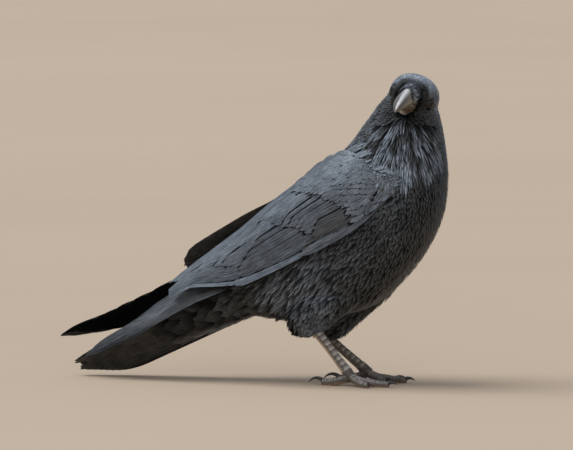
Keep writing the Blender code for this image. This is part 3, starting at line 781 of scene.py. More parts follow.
def feather_material():
    """Vanes: fine barbs slanting off a shaft, with painted shade at the root and where other vanes cover them,
    a painted highlight on the exposed edge and painted sheen streaks; glossy and blue-grey on the exposed end.
    """
    n = Nodes("feather")
    vane, light_paint = n.uv("Vane"), n.uv("Shown")
    across = n.math("ABSOLUTE", n.axis(vane, "X"))
    slant = n.math("SUBTRACT", n.axis(vane, "Y"), n.times(across, 0.8))
    grain = n.noise(420, 3.0)
    ridges = n.math("SINE", n.plus(n.times(slant, 2 * math.pi / BARB), n.times(grain, 5.0)))
    shaft = n.span(across, 0.0, SHAFT, 1.0, 0.0)
    apart = n.add("VectorMath", "Vector", {0: vane, 1: n.uv("OFBake")}, operation="ADD")
    # painted sheen: light and dark streaks along the barbs in the colour, as strong as the tint's alpha
    sheen_streaks = n.noise(STREAK_SCALE, 3.0, 0.6, n.stretched(apart, STREAK_STRETCH))
    sheen_streaks = n.math("SUBTRACT", n.span(sheen_streaks, 0.36, 0.64, 0.25, 2.0), 1.0)
    sheen_streaks = n.plus(n.times(sheen_streaks, n.tint("Alpha")), 1.0)
    n.bump(n.plus(n.times(ridges, 0.2), n.times(shaft, 1.2), sheen_streaks), 0.5, 0.0003)
    clumps = n.vary(n.noise(95, 2.0), 0.75, 1.3)
    # painted shade: darker towards the root and where other vanes cover it, read from the painted-light map
    under = n.span(n.axis(light_paint, "Y"), 0.38, 0.78, 0.22, 1.08)
    under = n.times(under, n.span(n.axis(light_paint, "X"), 0.0, 0.35, 0.10, 1.0))
    # painted highlight along the exposed edge, and a paler shaft
    rim = n.math("MAXIMUM", n.span(n.axis(light_paint, "X"), 0.8, 1.0, 0.0, 0.7), n.times(shaft, 0.6))
    level = n.times(under, n.span(ridges, -1.0, 1.0, 0.94, 1.05), n.times(clumps, n.plus(rim, 1.0)), sheen_streaks)
    return n.finish(
        n.tinted(level), n.vary(grain, FEATHER_ROUGH - 0.07, FEATHER_ROUGH + 0.07),
        Specular_IOR_Level=n.times(under, sheen_streaks, n.span(n.tint("Fac"), 0.004, 0.06, 0.2, 0.8)),
        Specular_Tint=(0.78, 0.89, 1.0, 1),
        Sheen_Weight=0.10, Sheen_Roughness=0.4, Sheen_Tint=(0.55, 0.66, 0.85, 1),
    )


def skin_material():
    """Under the coat: the same tints, broken up by a fine scale of small feathers."""
    n = Nodes("skin")
    cells = n.add("TexVoronoi", "Distance", {"Scale": 170, "Vector": n.place()})
    n.bump(cells, 0.5, 0.0012)
    colour = n.tinted(n.span(cells, 0.0, 0.7, 0.95, 0.35))
    rough = n.vary(n.noise(300), 0.55, 0.75)
    return n.finish(colour, rough, Specular_IOR_Level=0.35, Specular_Tint=(0.80, 0.90, 1.0, 1))


def bill_material():
    """Dark horn, with the tint's painted highlight on the ridge, scuffed with fine lengthwise lines and paler
    worn patches.
    """
    n = Nodes("bill_horn")
    lines, cloud = n.noise(900, 5.0, 0.6, n.stretched(n.place(), 0.12)), n.noise(140, 3.0)
    n.bump(n.plus(lines, n.times(cloud, 0.3)), 0.3, 0.0003)
    colour = n.tinted(n.times(n.vary(lines, 0.8, 1.2), n.vary(cloud, 0.88, 1.12)))
    rough = n.vary(cloud, 0.20, 0.34)
    return n.finish(colour, rough, Specular_IOR_Level=0.6, Coat_Weight=0.15, Coat_Roughness=0.25)


def leg_material():
    """Scuted skin: pale plates over darker creases."""
    n = Nodes("scuted_skin")
    fine, cloud = n.noise(1500, 4.0), n.noise(260, 3.0)
    n.bump(n.plus(fine, cloud), 0.4, 0.0003)
    colour = n.tinted(n.times(n.vary(fine, 0.8, 1.2), n.vary(cloud, 0.75, 1.25)))
    return n.finish(colour, n.vary(fine, 0.42, 0.62), Specular_IOR_Level=0.5)


def eye_material():
    """Dark brown iris round a black pupil, under a wet clear surface."""
    n = Nodes("eye_wet")
    colour = n.tinted(n.vary(n.noise(1400, 3.0), 0.7, 1.3))
    return n.finish(colour, n.vary(n.noise(700, 2.0), 0.04, 0.08), IOR=1.3)


def claw_material():
    n = Nodes("claw_horn")
    lines = n.noise(700, 4.0)
    n.bump(lines, 0.3, 0.0003)
    return n.finish(n.mixed(lines, *CLAW_COLOURS), n.vary(lines, 0.25, 0.4), Specular_IOR_Level=0.6)


def floor_material():
    n = Nodes("floor_paper")
    n.bump(n.noise(300, 3.0), 0.15, 0.0005)
    colour = n.mixed(n.noise(0.6, 5.0), *FLOOR_COLOURS)
    return n.finish(colour, n.vary(n.noise(3.0), 0.8, 0.9), Specular_IOR_Level=0.3)


# ---- the lie of the coat -----------------------------------------------------------------------
def lie_table():
    """All guides in the design frame, on both sides: places, directions and sizes."""
    guides = []
    for table, turn, origin in ((LIE, np.eye(3), 0), (HEAD_LIE, HEAD_AXES, HEAD_AT)):
        for row in np.array(table):
            for side in (1, -1) if row[1] else (1,):
                place, way = (row[start : start + 3] * (1, side, 1) @ turn for start in (0, 3))
                guides.append((*(origin + place), *way, *row[6:]))
    guides = np.array(guides)
    return guides[:, :3], unit(guides[:, 3:6]), guides[:, 6:]


GUIDES = lie_table()


def lie_at(points):
    """Direction and sizes of the feathers at points, mixed from the nearest guides."""
    places, ways, sizes = GUIDES
    far = ((points[:, None] - places[None]) ** 2).sum(-1)
    weight = 1 / (far + 30) ** 2
    weight /= weight.sum(1, keepdims=True)
    return unit(weight @ ways), weight @ sizes


def lay(coat, surface, roots, ways, sizes, rows, cols, sink=SINKS["body"], turn=6.0):
    """Lays vanes over a surface from their roots: under the one before at the root, proud at the tip."""
    count = len(roots)
    each = (count, 1, 1)
    length, width, rise, point, loose, tone = sizes.T[..., None, None]
    length = length * RANDOM.uniform(0.88, 1.12, each)
    width = width * RANDOM.uniform(0.9, 1.1, each)
    at, normals = surface.nearest(roots)
    ways = ways + unit(RANDOM.normal(size=(count, 3))) * np.sin(np.radians(turn)) * (1 + loose[:, 0])
    ways = unit(ways - normals * (ways * normals).sum(1, keepdims=True))
    ahead, aside = ways[:, None, None], np.cross(normals, ways)[:, None, None]
    kinds = zip(template("scale", rows, cols), template("lancet", rows, cols))
    along, across = (scale * (1 - point) + lancet * point for scale, lancet in kinds)
    along = along - RANDOM.random((count, 1, cols + 1)) * np.maximum(along - 0.55, 0) * (0.25 + 0.5 * loose)
    across = across * (1 + RANDOM.normal(0, 0.05, (count, rows + 1, 1)))
    barbs = np.stack([across * width / 2, along * length], -1)
    low, facing = surface.nearest(at[:, None, None] + ahead * barbs[..., 1:] + aside * barbs[..., :1])
    share = np.clip(along, 0, 1)
    height = -sink * (1 - share) ** 1.5 + RANDOM.uniform(0.6, 1.4, each) * rise * share**2
    height += (1 - across**2) * width * 0.035
    bend = RANDOM.normal(0, 1, each) * loose * 1.5 * share**2
    grid = low + facing * (height + np.abs(bend))[..., None] + aside * bend[..., None]
    tones = tone[:, 0, 0] * RANDOM.uniform(0.65, 1.4, count)
    # painted shade: each vane darker towards its root
    painted_light = np.stack([np.full(along.shape, 0.6), np.clip(along * 1.05, 0, 1)], -1)
    coat.add(grid, barbs, tones, roots, painted_light, np.clip(tone[:, 0, 0] * 0.75, 0.25, 1))


# ---- skin, body, head and throat ---------------------------------------------------------------
def make_skin():
    """One skin for all the feathered flesh, sunk under the plumage, with its own unwrap."""
    mesh = cad_union(FLESH, SKIN_VOXEL, 3)
    outer = Surface(mesh)
    hits = cast(outer.tree, outer.vertices - outer.normals * 0.05, -outer.normals)
    depths = [min(SKIN_DEPTH, 0.4 * (hit[3] or 0.2)) for hit in hits]
    sunk = outer.vertices - outer.normals * np.array(depths)[:, None]
    mesh.vertices.foreach_set("co", placed(sunk).reshape(-1))
    mesh.update()
    # the coat's tones, darker by 0.6: painted shade under the plumage
    tints = coat_colour(lie_at(sunk)[1][:, 5] * 0.6)
    piece = finish_piece("skin", mesh, tints, skin_material(), FLESH)
    bpy.context.view_layer.objects.active = piece
    piece.select_set(True)
    bpy.ops.object.mode_set(mode="EDIT")
    bpy.ops.mesh.select_all(action="SELECT")
    mesh.uv_layers.new(name="OFBake")
    bpy.ops.uv.smart_project(angle_limit=math.radians(70), island_margin=0.003)
    bpy.ops.object.mode_set(mode="OBJECT")
    piece.select_set(False)
    return Skin(mesh)


def on_throat(points):
    """Whether points lie on the beard of long feathers under the bill."""
    away = points - from_head(CHIN)
    drop, aside, ahead = -away[:, 2], away @ THROAT_SIDE, away @ HEAD_AXES[0]
    high = (drop > THROAT_TOP + 0.3 * np.abs(aside)) & (drop < THROAT_DROP - 0.018 * aside**2)
    return high & (np.abs(aside) < THROAT_HALF + 0.12 * drop) & (ahead > -THROAT_BACK - 0.2 * drop)


def make_throat(roots):
    """Long pointed feathers fanning from the chin, gathered into locks: bright ones with a painted glossy
    highlight, dark ones with painted shade in the gaps.
    """
    coat = Coat()
    count = len(roots)
    fan = unit(unit(roots - from_head(CHIN)) + THROAT_FALL)
    reach = np.linalg.norm(roots - from_head(CHIN), axis=1)
    length = np.clip(13 + reach * 0.32, *THROAT_LENGTHS)
    heads = RANDOM.choice(count, LOCKS, replace=False)
    lock = ((roots[:, None] - roots[heads][None]) ** 2).sum(-1).argmin(1)
    tips = roots[heads] + fan[heads] * length[heads][:, None] * 1.15
    fan = unit(fan + 0.8 * (tips[lock] - roots) / length[:, None])
    # bright locks: painted highlight; the rest: painted shade in the gaps between locks
    bright = RANDOM.random(LOCKS) < LOCKS_BRIGHT
    tone, rise = (
        np.where(bright, RANDOM.uniform(*high, LOCKS), RANDOM.uniform(*low, LOCKS))[lock]
        for high, low in ((LOCK_TONES, LOCK_SHADES), (LOCK_RISES, LOCK_DIPS))
    )
    tone = tone * RANDOM.uniform(0.8, 1.25, count)
    width = np.clip(1.8 + reach * 0.03, *THROAT_WIDTHS)
    sizes = np.column_stack([length, width, rise, [(1.0, 0.3)] * count, tone])
    lay(coat, BODY, roots, fan, sizes, 9, 2, SINKS["throat"], turn=3.0)
    coat.make("coat_throat", "neck")


def feather_spacing(points):
    sizes = lie_at(points)[1]
    return np.where(on_throat(points), THROAT_SPACING, SPACING * np.sqrt(sizes[:, 0] * sizes[:, 1]))


def under_wing_front(name, roots):
    """Whether roots lie where the wing's coat shows instead of the body's."""
    s, f = np.meshgrid(*(np.linspace(*span, 30) for span in WING_FRONT), indexing="ij")
    f = f * np.interp(s, *zip(*SCAPULAR_EDGE))
    at, out = wing_surface(WING_KEYS[name], SIDES[name], 1, s, f)
    front = point_tree((at + out * lifts(BODY.tree, at, out)).reshape(-1, 3))
    return np.array([front.find(p)[2] < 4 for p in roots.tolist()])


def make_body_coat():
    roots, normals = BODY.scatter(feather_spacing)
    ways, sizes = lie_at(roots)
    tips = roots + ways * sizes[:, :1] + normals * 2
    wings = cad_tree("wing_left", "wing_right", "primaries_left", "primaries_right")
    hard = cad_tree("bill_upper", "bill_lower", "tarsus_left", "tarsus_right")
    under = blocked(wings, roots + normals, normals, WING_OVER[0])
    under &= blocked(wings, tips - normals * 3, normals, WING_OVER[1])
    under |= blocked(hard, roots - normals * 0.5, normals, 14)
    for name, side in SIDES.items():
        under |= under_wing_front(name, roots)
        eye, aim = eye_frame(side)
        for places in (roots, tips):
            off = (to_head(places) - eye) @ aim.T
            under |= (off[:, 1] * side > 0) & (np.hypot(off[:, 0], off[:, 2]) < LID_OPEN - 0.2)
    on_tail = (roots - TAIL_ROOT) @ TAIL_AXES.T
    reach = np.where(on_tail[:, 2] > 0, COVERT_REACH["above"], COVERT_REACH["below"])
    under |= on_tail[:, 0] > reach - 0.9 * np.abs(on_tail[:, 1])
    roots, ways, sizes = roots[~under], ways[~under], sizes[~under]
    throat = on_throat(roots)
    head = (np.linalg.norm(to_head(roots), axis=1) < HEAD_REACH) & ~throat
    rear = (roots[:, 0] < REAR_FROM) & ~head & ~throat
    for name, node, part, rows, cols, sink in (
        ("coat_head", "head", head, 5, 2, SINKS["head"]),
        ("coat_front", "neck", ~rear & ~head & ~throat, 7, 4, SINKS["body"]),
        ("coat_rear", "trunk", rear, 7, 4, SINKS["body"]),
    ):
        coat = Coat()
        lay(coat, BODY, roots[part], ways[part], sizes[part], rows, cols, sink)
        coat.make(name, node)
    make_throat(roots[throat])


# ---- wings -------------------------------------------------------------------------------------
def wing_sheet(keys, side, s, f):
    """The middle of a wing at s along it and f up from its lower edge, and the way from it to the outside."""
    key = spline(keys, s)
    lower, upper = key[..., 0:3] * (1, side, 1), key[..., 3:6] * (1, side, 1)
    out = np.cross(unit(upper - lower), unit(np.array([-1, 0, -0.5])))
    out = unit(out * np.sign(out[..., 1:2] * side + 1e-9))
    arch = np.sin(np.pi * np.clip(f, 0, 1))[..., None]
    half = (EDGE_THICK + (np.maximum(key[..., 7:8], EDGE_THICK) - EDGE_THICK) * arch**0.7) / 2
    beyond = (np.maximum(s - 1, 0) + np.minimum(s, 0))[..., None] * WING_BEYOND
    return lower + (upper - lower) * f[..., None] + out * key[..., 6:7] * arch + beyond, out * half


def wing_surface(keys, side, face, s, f, step=0.01):
    """Places on a wing's outside (face 1) or inside (face -1), and their outward normals."""
    middle, away = wing_sheet(keys, side, s, f)
    inside = np.clip(s, step, 1 - step)
    ahead = wing_sheet(keys, side, inside + step, f)[0] - wing_sheet(keys, side, inside - step, f)[0]
    low, high = np.maximum(f - step, 0), np.minimum(f + step, 1)
    normal = unit(np.cross(ahead, wing_sheet(keys, side, s, high)[0] - wing_sheet(keys, side, s, low)[0]))
    return middle + away * face, normal * np.sign(normal[..., 1:2] * side + 1e-9) * face


def wing_vanes(coat, wing, roots, tips, width, kind, rise, tilt, base, tone, rows=14, cols=8, fade=0.0):
    """Vanes from roots to tips, both given as (s, f) on the wing; tilt lifts the lower edge of each."""
    keys, side, face = wing
    count = len(roots)
    each = (count, 1, 1)
    tips = tips + RANDOM.normal(0, 1, (count, 2)) * TIP_SCATTER
    tips[:, 0] = np.minimum(tips[:, 0], WING_REACH[side])
    path = roots[:, None] + (tips - roots)[:, None] * np.linspace(0, 1, PATH_STEPS + 1)[:, None]
    spine, normal = wing_surface(*wing, path[..., 0], path[..., 1])
    along, across = template(kind, rows, cols)
    share = np.clip(along, 0, 1) * PATH_STEPS
    i = np.minimum(share.astype(int), PATH_STEPS - 1)
    k = (share - i)[..., None]
    at, out = (v[:, i] * (1 - k) + v[:, i + 1] * k for v in (spine, normal))
    out = unit(out)
    way = unit(np.diff(spine, axis=1))[:, i]
    downward = unit(np.cross(out, way)) * side * face
    if face > 0:
        at = at + out * lifts(BODY.tree, at, out)
    width = width * RANDOM.uniform(0.95, 1.05, each)
    lengths = np.linalg.norm(np.diff(spine, axis=1), axis=2).sum(1)[:, None, None]
    barbs = np.stack([across * width / 2, along * lengths], -1)
    height = base + rise * along**1.5 - (1 - along) ** 3 * 1.2 + tilt * across
    height = height + (1 - across**2) * width * 0.02 + RANDOM.uniform(-0.08, 0.08, each)
    arch = np.sin(np.pi * np.clip(path[..., 1], 0.02, 0.98)) ** 0.7
    thick = (EDGE_THICK + spline(keys, path[..., 0])[..., 7] * arch)[:, i]
    height = np.where(height < 0, height * np.clip(thick / 10, 0.12, 1), height)
    grid = at + downward * barbs[..., :1] + out * height[..., None]
    # painted light: a highlight along each vane's exposed lower edge and tip; fade darkens the vanes towards
    # their tips
    edge = np.maximum((np.linspace(-1, 1, cols + 1) - 0.75) / 0.25, (along - 0.97) / 0.02)
    painted_light = np.stack([0.8 + 0.2 * np.clip(edge, -1, 1), 1 - fade * np.clip((along - 0.4) / 0.4, 0, 1)], -1)
    tones = tone * RANDOM.uniform(0.85, 1.15, count)
    painted_light = np.broadcast_to(painted_light, (count, *painted_light.shape))
    coat.add(grid, barbs, tones, at[:, 0, cols // 2], painted_light, WING_SHEEN_STREAKS, mirrored=side * face < 0)
    beside = [out, out] if kind == "scale" else [-downward, -way]
    coat.ways.append(np.stack([out, *beside], -2).reshape(-1, 3, 3))


def make_wing(name):
    hand, coat = Coat(), Coat()
    over = (WING_KEYS[name], SIDES[name], 1)
    for vanes, wing, rows, how in (
        (hand, (HAND_KEYS[name], SIDES[name], 1), HAND_ROWS, {"rows": 22, "fade": HAND_FADE}),
        (coat, (WING_KEYS[name], SIDES[name], -1), INNER_ROWS, {}),
        (coat, over, WING_ROWS + TERTIALS[name] + WING_COVERTS, {}),
    ):
        for count, roots, tips, *look in rows:
            wing_vanes(vanes, wing, between(roots, count), between(tips, count), *look, **how)
    for span, where, length, steps, *look in SCALE_FIELDS:
        roots = []
        for i, s in enumerate(np.arange(*span, steps[0])):
            edge = np.interp(s, *zip(*SCAPULAR_EDGE))
            low, high = (0.0, edge) if where == "below" else (edge, 0.97)
            roots += [(s, f) for f in np.arange(low + (i % 2) * steps[1] / 2, high, steps[1])]
        roots = np.array(roots) + RANDOM.normal(0, 0.10, (len(roots), 2)) * steps
        wing_vanes(coat, over, roots, roots + (length, -0.25 * length), *look, rows=7, cols=4)
    for vanes, piece, node in ((hand, "primaries_coat_", "primaries_"), (coat, "wing_coat_", "wing_")):
        vanes.shade_covered()
        vanes.make(piece + name, node + name)


# ---- tail --------------------------------------------------------------------------------------
def tail_vane(coat, name, pair, face, rows=22, cols=6):
    """One feather's upper (face 1) or under side (face -1)."""
    side = SIDES[name]
    along, across = template("flight", rows, cols)
    length = TAIL_LENGTH - TAIL_STEPS[name] * pair + RANDOM.uniform(-1, 1)
    x = 10 + (length - 10) * along
    root_half = TAIL_HALF_ROOTS[name]
    grow = root_half + (TAIL_HALF - root_half) * np.minimum(1, x / (0.72 * TAIL_LENGTH))
    f = np.interp(pair, (0, TAIL_PAIRS - 1), TAIL_VANE_AT) + across * TAIL_VANE
    y = side * TAIL_SNUG[name] * grow * f
    thick = EDGE_THICK + TAIL_THICK * (1 - 0.6 * x / TAIL_LENGTH) * (1 - np.clip(f, -1, 1) ** 2)
    layer = 0.30 * (TAIL_PAIRS - pair if face > 0 else pair + 1)
    z = face * (thick / 2 + layer - 0.8 - 0.5 * across * face) - TAIL_ARCH * (y / TAIL_HALF) ** 2
    grid = (TAIL_ROOT + np.stack([x, y, z], -1) @ TAIL_AXES)[None]
    barbs = np.stack([across * TAIL_VANE * grow, x], -1)[None]
    # painted light: a highlight at the tip and along one edge, painted shade along the other edge and towards
    # the root
    tip = 0.8 + 0.2 * np.clip((along - 0.975) / 0.012, -9, 1)
    light_paint = np.clip(np.maximum(1.1 * (1 - across) / 2, tip), 0, 1)
    painted_light = np.stack([light_paint, 0.38 + 0.62 * along**0.3], -1)[None]
    tone = TAIL_TONE * RANDOM.uniform(0.85, 1.15, 1)
    coat.add(grid, barbs, tone, grid[0, :1, cols // 2], painted_light, 0.5, mirrored=side * face > 0)


def make_tail():
    """Twelve feathers: the middle pair on top, each next pair lower and shorter."""
    coat = Coat()
    for face in (1, -1):
        for pair in range(TAIL_PAIRS):
            for name in ("left", "right"):
                tail_vane(coat, name, pair, face)
    coat.make("tail_feathers", "tail")


# ---- bill and eyes -----------------------------------------------------------------------------
def make_bill_half(name, node, keys, horn, rows=64, around=40):
    """A rounded ridge outside, a hollowed flat inside, a lip at the edge; the tint paints a highlight along
    the ridge and a tan floor reflection on the sides.
    """
    upper = node == "bill_upper"
    x, top, bottom, half = between(keys, rows).T[..., None]
    a = np.linspace(0, 2 * np.pi, around, endpoint=False)
    c, s = np.cos(a), np.sin(a)
    outer = s > 0 if upper else s < 0
    flat = bottom if upper else top
    z = flat + outer * (top - bottom) * np.abs(s) ** (1.12 if upper else 1.0) * np.sign(s)
    lip = np.exp(-((np.abs(s) / 0.16) ** 2)) * 0.5 * np.linspace(1, 0, rows)[:, None]
    y = half * c * np.where(outer, 1 - 0.12 * np.abs(s), 1.0) + np.sign(c) * lip * outer
    # painted highlight along the ridge, painted floor reflection on the sides
    ridge = (np.abs(s) ** 11)[:, None]
    side = np.clip(1 - np.abs(np.abs(s) - 0.35) / 0.4, 0, 1) * (0.3 + 0.7 * np.clip((x - 10) / 80, 0, 1))
    tints = horn + ridge * HORN_RIDGE_HIGHLIGHT + side[..., None] * HORN_SIDE_REFLECTION
    return tube_piece(name, from_head(np.stack([x + 0 * z, y, z], -1)), tints, BILL, node)


def make_bill():
    """Both halves, and stiff feathers that lie forward over the base, hide the nostrils and close at the
    chin."""
    halves = {name: make_bill_half(name, *look[:3]) for name, look in BILL_HALVES.items()}
    coat = Coat()
    for name, (_, keys, _, bristles) in BILL_HALVES.items():
        count, start, end, reach, turns, stand, tones = bristles
        x = RANDOM.uniform(start, end, count)
        turn = np.radians(RANDOM.uniform(*turns, count))
        t = np.interp(x, [key[0] for key in keys], np.linspace(0, 1, len(keys)))
        _, top, bottom, half = spline(keys, t).T
        z = np.where(np.sin(turn) > 0, bottom, top) + (top - bottom) * 1.2 * np.sin(turn)
        roots = from_head(np.stack([x, half * 1.2 * np.cos(turn), z], -1))
        ways = np.stack([1 + 0 * x, -0.10 * np.cos(turn), -0.12 * np.abs(np.cos(turn))], -1)
        length = np.clip((reach - x) * RANDOM.uniform(0.75, 1.05, count), 7, 22)
        tone = np.where(RANDOM.random(count) < 0.3, 0.3, RANDOM.uniform(*tones, count))
        sizes = np.column_stack([length, [BRISTLE] * count, tone])
        sink = -stand * np.clip((end - x) / (end - start), 0, 1)[:, None, None]
        lay(coat, Surface(halves[name].data), roots, ways @ HEAD_AXES, sizes, 7, 2, sink=sink, turn=7)
    coat.make("nasal_bristles", "head")


def eye_frame(side):
    """Middle of an eye and rows of the axes it looks along, in the head's frame: ahead, out and up."""
    ahead = math.radians(EYE_AHEAD)
    c, s = math.cos(ahead), side * math.sin(ahead)
    return EYE_AT * (1, side, 1), np.array([[c, -s, 0], [s, c, 0], [0, 0, 1]])


def round_eye(side, radius, polar, turn):
    """Points at radius from an eye's middle, polar from the way it looks and turned round that."""
    centre, aim = eye_frame(side)
    away = radius * np.sin(polar)
    x, z = away * np.cos(turn), away * np.sin(turn)
    return from_head(centre + np.stack([x, side * radius * np.cos(polar) + 0 * x, z], -1) @ aim)


def make_eye(name):
    """An eyeball with a bulging clear front, and the lids' rim round it; both look a little ahead."""
    side = SIDES[name]
    polar = np.linspace(0.02, np.pi - 0.02, 40)[:, None]
    turn = np.linspace(0, 2 * np.pi, 48, endpoint=False) * side
    radius = EYE_RADIUS * (0.985 + 0.02 * np.exp(-((polar / 0.45) ** 2)))
    iris = np.clip((polar - 0.33) / 0.06, 0, 1) * np.clip((0.80 - polar) / 0.06, 0, 1)
    tints = EYE_BLACK + (iris + 0 * turn)[..., None] * EYE_IRIS
    tube_piece("eyeball_" + name, round_eye(side, radius, polar, turn), tints, EYE, "eye_" + name)

    steps, ring = 72, 12
    turn = np.linspace(0, 2 * np.pi, steps, endpoint=False)[:, None]
    section = np.linspace(0, 2 * np.pi, ring, endpoint=False)
    skirt = (1 - np.cos(section)) / 2
    opening = LID_OPEN * (1 - 0.16 * np.abs(np.sin(turn))) * (1 + 0.06 * np.cos(turn)) / EYE_RADIUS
    polar = opening + 0.36 * skirt**1.4
    radius = EYE_RADIUS + 0.12 + 0.42 * np.sin(section) * (1 - 0.6 * skirt) - 0.5 * skirt
    radius = radius * (1 + 0.010 * np.cos(turn * 30) * (1 - skirt))
    points = round_eye(side, radius, polar, turn).reshape(-1, 3)
    faces = quads(steps, ring, torus=True)[:, :: -side]
    mesh = new_mesh("eyelid_" + name, points, faces.tolist())
    finish_piece("eyelid_" + name, mesh, np.tile(LID_TINT, (len(points), 1)), LEG, ())


# ---- legs --------------------------------------------------------------------------------------
def limb_tube(points, across, deep, side, around=20):
    """Rings round a path; across and deep are its half widths."""
    ahead = unit(np.gradient(points, axis=0))
    side = unit(side - ahead * (ahead @ side)[:, None])
    down = np.cross(ahead, side)
    a = np.linspace(0, 2 * np.pi, around, endpoint=False)
    across, deep = (across[:, None] * np.cos(a))[..., None], (deep[:, None] * np.sin(a))[..., None]
    return points[:, None] + side[:, None] * across + down[:, None] * deep


def toe_line(leg, toe, count):
    """A toe's middle line, its half widths and the way it points."""
    length, heading, base, tip, _, _ = TOES[toe]
    turn = math.radians(leg["turn"] + heading * -leg["side"])
    ahead = np.array([math.cos(turn), math.sin(turn), 0])
    f = np.linspace(0, 1, count)
    points = leg["foot"] + ahead * (2.5 + (length - 2.5) * f)[:, None]
    points[:, 2] = (leg["foot"][2] - 2.5) * (1 - f) ** 2.2 + tip * SINK * (1 - (1 - f) ** 2.2)
    half = (base + (tip - base) * f) * (1 + 0.1 * np.cos(4 * np.pi * f))
    half[f > 0.93] *= np.interp(f[f > 0.93], (0.93, 1), (0.92, 0.62))
    return points, half, ahead


def leg_core(leg, toes):
    """Shank, foot and toes as one mesh, in design millimetres."""
    t = np.linspace(SHANK_SWELL[0][0], 1.0, 50)
    wide = np.interp(t, *zip(*SHANK_SWELL))
    shank = leg["heel"] + t[:, None] * (leg["foot"] - leg["heel"])
    tubes = [limb_tube(shank, TARSUS_HALF[0] * wide, TARSUS_HALF[1] * wide, LEFT)]
    for points, half, ahead in toes:
        tubes.append(limb_tube(points, half * 0.97, half * 1.02, np.cross(UP, ahead)))
    bm = bmesh.new()
    for rings in tubes:
        rows, around = rings.shape[:2]
        verts = [bm.verts.new(p) for p in rings.reshape(-1, 3).tolist()]
        for quad in quads(rows, around, ring=True).tolist():
            bm.faces.new([verts[i] for i in quad])
        bm.faces.new(verts[:around][::-1])
        bm.faces.new(verts[-around:])
    bmesh.ops.recalc_face_normals(bm, faces=bm.faces)
    ball = bmesh.ops.create_icosphere(bm, subdivisions=3, radius=FOOT_BALL)
    bmesh.ops.translate(bm, vec=Vector(leg["foot"]), verts=ball["verts"])
    return remeshed(bm, LEG_VOXEL, 3)


def plates(where):
    """Height and paleness over overlapping plates, one per unit."""
    part = where - np.floor(where)
    return np.clip(part * 1.25, 0, 1) * np.clip((1 - part) * 7, 0, 1), np.clip(part * 1.1, 0, 1) ** 1.5


def make_leg(name):
    """Shank and toes as one skin, with plates on the fronts and tops pushed out of it."""
    leg = LEGS[name]
    heel, foot = leg["heel"], leg["foot"]
    shank = foot - heel
    toes = [toe_line(leg, toe, 30) for toe in TOES]
    made = leg_core(leg, toes)
    co, normal = read(made.vertices, "co", 3), read(made.vertices, "normal", 3)
    # the shank: large plates down its front, a smooth ridge behind
    along = ((co - heel) @ shank) / (shank @ shank)
    front = unit(np.cross(LEFT, shank))
    facing = unit(co - heel - np.clip(along, 0, 1)[:, None] * shank) @ (front * np.sign(front[0]))
    on_shank = (along < 0.9) & (co[:, 2] > foot[2] + 4)
    saw, lip = plates(along * SHANK_PLATES)
    fore = on_shank * np.clip(facing * 1.6 + 0.55, 0, 1)
    push, plate = fore * saw * 0.42, fore * lip
    rear = on_shank * np.clip(-facing * 2 - 0.6, 0, 1)
    # the toes: plates across their tops, pads below
    nearest = np.full(len(co), 1e9)
    top = np.clip(normal[:, 2] * 1.5 + 0.1, 0, 1)
    for (points, _, _), (length, *_) in zip(toes, TOES.values()):
        away = ((co[:, None] - points[None]) ** 2).sum(-1)
        index, away = away.argmin(1), away.min(1)
        mine = (away < nearest) & ~on_shank
        nearest = np.where(mine, away, nearest)
        saw, lip = plates(index / (len(points) - 1) * length / TOE_PLATE)
        push, plate = np.where(mine, top * saw * 0.34, push), np.where(mine, top * lip, plate)
    low = np.clip(-normal[:, 2], 0, 1) * (co[:, 2] < 5)
    moved = co + normal * push[:, None]
    moved[:, 2] = np.maximum(moved[:, 2], 0.0)
    made.vertices.foreach_set("co", placed(moved).reshape(-1))
    made.update()
    colours = LEG_COLOURS[name]
    tints = colours["skin"] + np.zeros_like(co)
    for key, share in (("plate", plate), ("rear", rear), ("pad", low)):
        tints = tints + share[:, None] * (colours[key] - tints)
    finish_piece("leg_" + name, made, tints, LEG, ("tarsus_" + name, "foot_" + name))


def make_claws(name, count=28, around=16):
    leg = LEGS[name]
    f = np.linspace(0, 1, count)
    half = 2.2 * (1 - f) ** 0.75 + 0.12
    for toe, (*_, length, bend) in TOES.items():
        points, _, ahead = toe_line(leg, toe, 8)
        angle = np.radians(bend) * (0.42 - f)
        move = ahead * np.cos(angle)[:, None] + UP * np.sin(angle)[:, None]
        path = np.concatenate([np.zeros((1, 3)), np.cumsum(move[:-1], 0)]) * (length * 0.9 / (count - 1))
        path += points[-1] - ahead * 2.0 + UP * 1.2
        path[:, 2] += max(0.4 - (path[:, 2] - half * 1.15).min(), 0) * f
        rings = limb_tube(path, half * 0.8, half * 1.15, np.cross(UP, ahead), around)
        claw = f"claw_{name}_{toe}"
        tube_piece(claw + "_horn", rings, np.full((count, around, 3), 0.03), CLAW, claw)


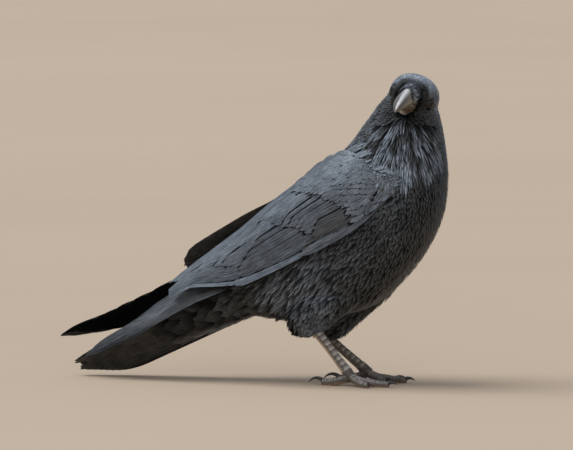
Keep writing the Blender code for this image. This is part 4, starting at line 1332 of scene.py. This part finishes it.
# ---- stage -------------------------------------------------------------------------------------
def make_floor():
    bm = bmesh.new()
    bmesh.ops.create_circle(bm, cap_ends=True, segments=96, radius=FLOOR_RADIUS)
    floor = bmesh_object(bm, "floor")
    floor.data.materials.append(floor_material())


def aim_along(obj, forward):
    obj.rotation_mode = "QUATERNION"
    obj.rotation_quaternion = forward.to_track_quat("-Z", "Y")


def make_lights():
    for name, towards, strength, softness, colour in SUNS:
        light = bpy.data.lights.new(name, "SUN")
        light.energy = strength
        light.angle = math.radians(softness)
        light.color = colour
        aim_along(add_object(name, light), -Vector(towards))
    world = bpy.data.worlds.new("studio")
    bpy.context.scene.world = world
    world.use_nodes = True
    background = world.node_tree.nodes["Background"]
    background.inputs["Color"].default_value = (*WORLD_COLOUR, 1)
    background.inputs["Strength"].default_value = WORLD_STRENGTH


def make_camera():
    turn, lift = math.radians(CAMERA_AZIMUTH), math.radians(CAMERA_ELEVATION)
    right = Vector((math.cos(turn), math.sin(turn), 0))
    forward = Vector((-math.sin(turn) * math.cos(lift), math.cos(turn) * math.cos(lift), -math.sin(lift)))
    aim = right * CAMERA_AIM[0] + right.cross(forward) * CAMERA_AIM[1]
    data = bpy.data.cameras.new("camera")
    data.sensor_width = 36
    data.lens = 36 * CAMERA_DISTANCE / FRAME_WIDTH
    data.clip_start, data.clip_end = 0.5, 200
    camera = add_object("camera", data)
    camera.location = Vector(SHIFT) + aim * MM - forward * CAMERA_DISTANCE
    aim_along(camera, forward)
    bpy.context.scene.camera = camera


# ---- the model ---------------------------------------------------------------------------------
FEATHER, BILL, EYE, LEG, CLAW = (
    make() for make in (feather_material, bill_material, eye_material, leg_material, claw_material)
)
SKIN = make_skin()
BODY = Surface(cad_union(BODY_FLESH, BODY_VOXEL, 4))

make_body_coat()
make_wing("right")
make_wing("left")
make_tail()
make_bill()
for side_name in SIDES:
    make_eye(side_name)
    make_leg(side_name)
    make_claws(side_name)
make_floor()
make_camera()
make_lights()
bpy.context.scene.view_settings.view_transform = "Standard"
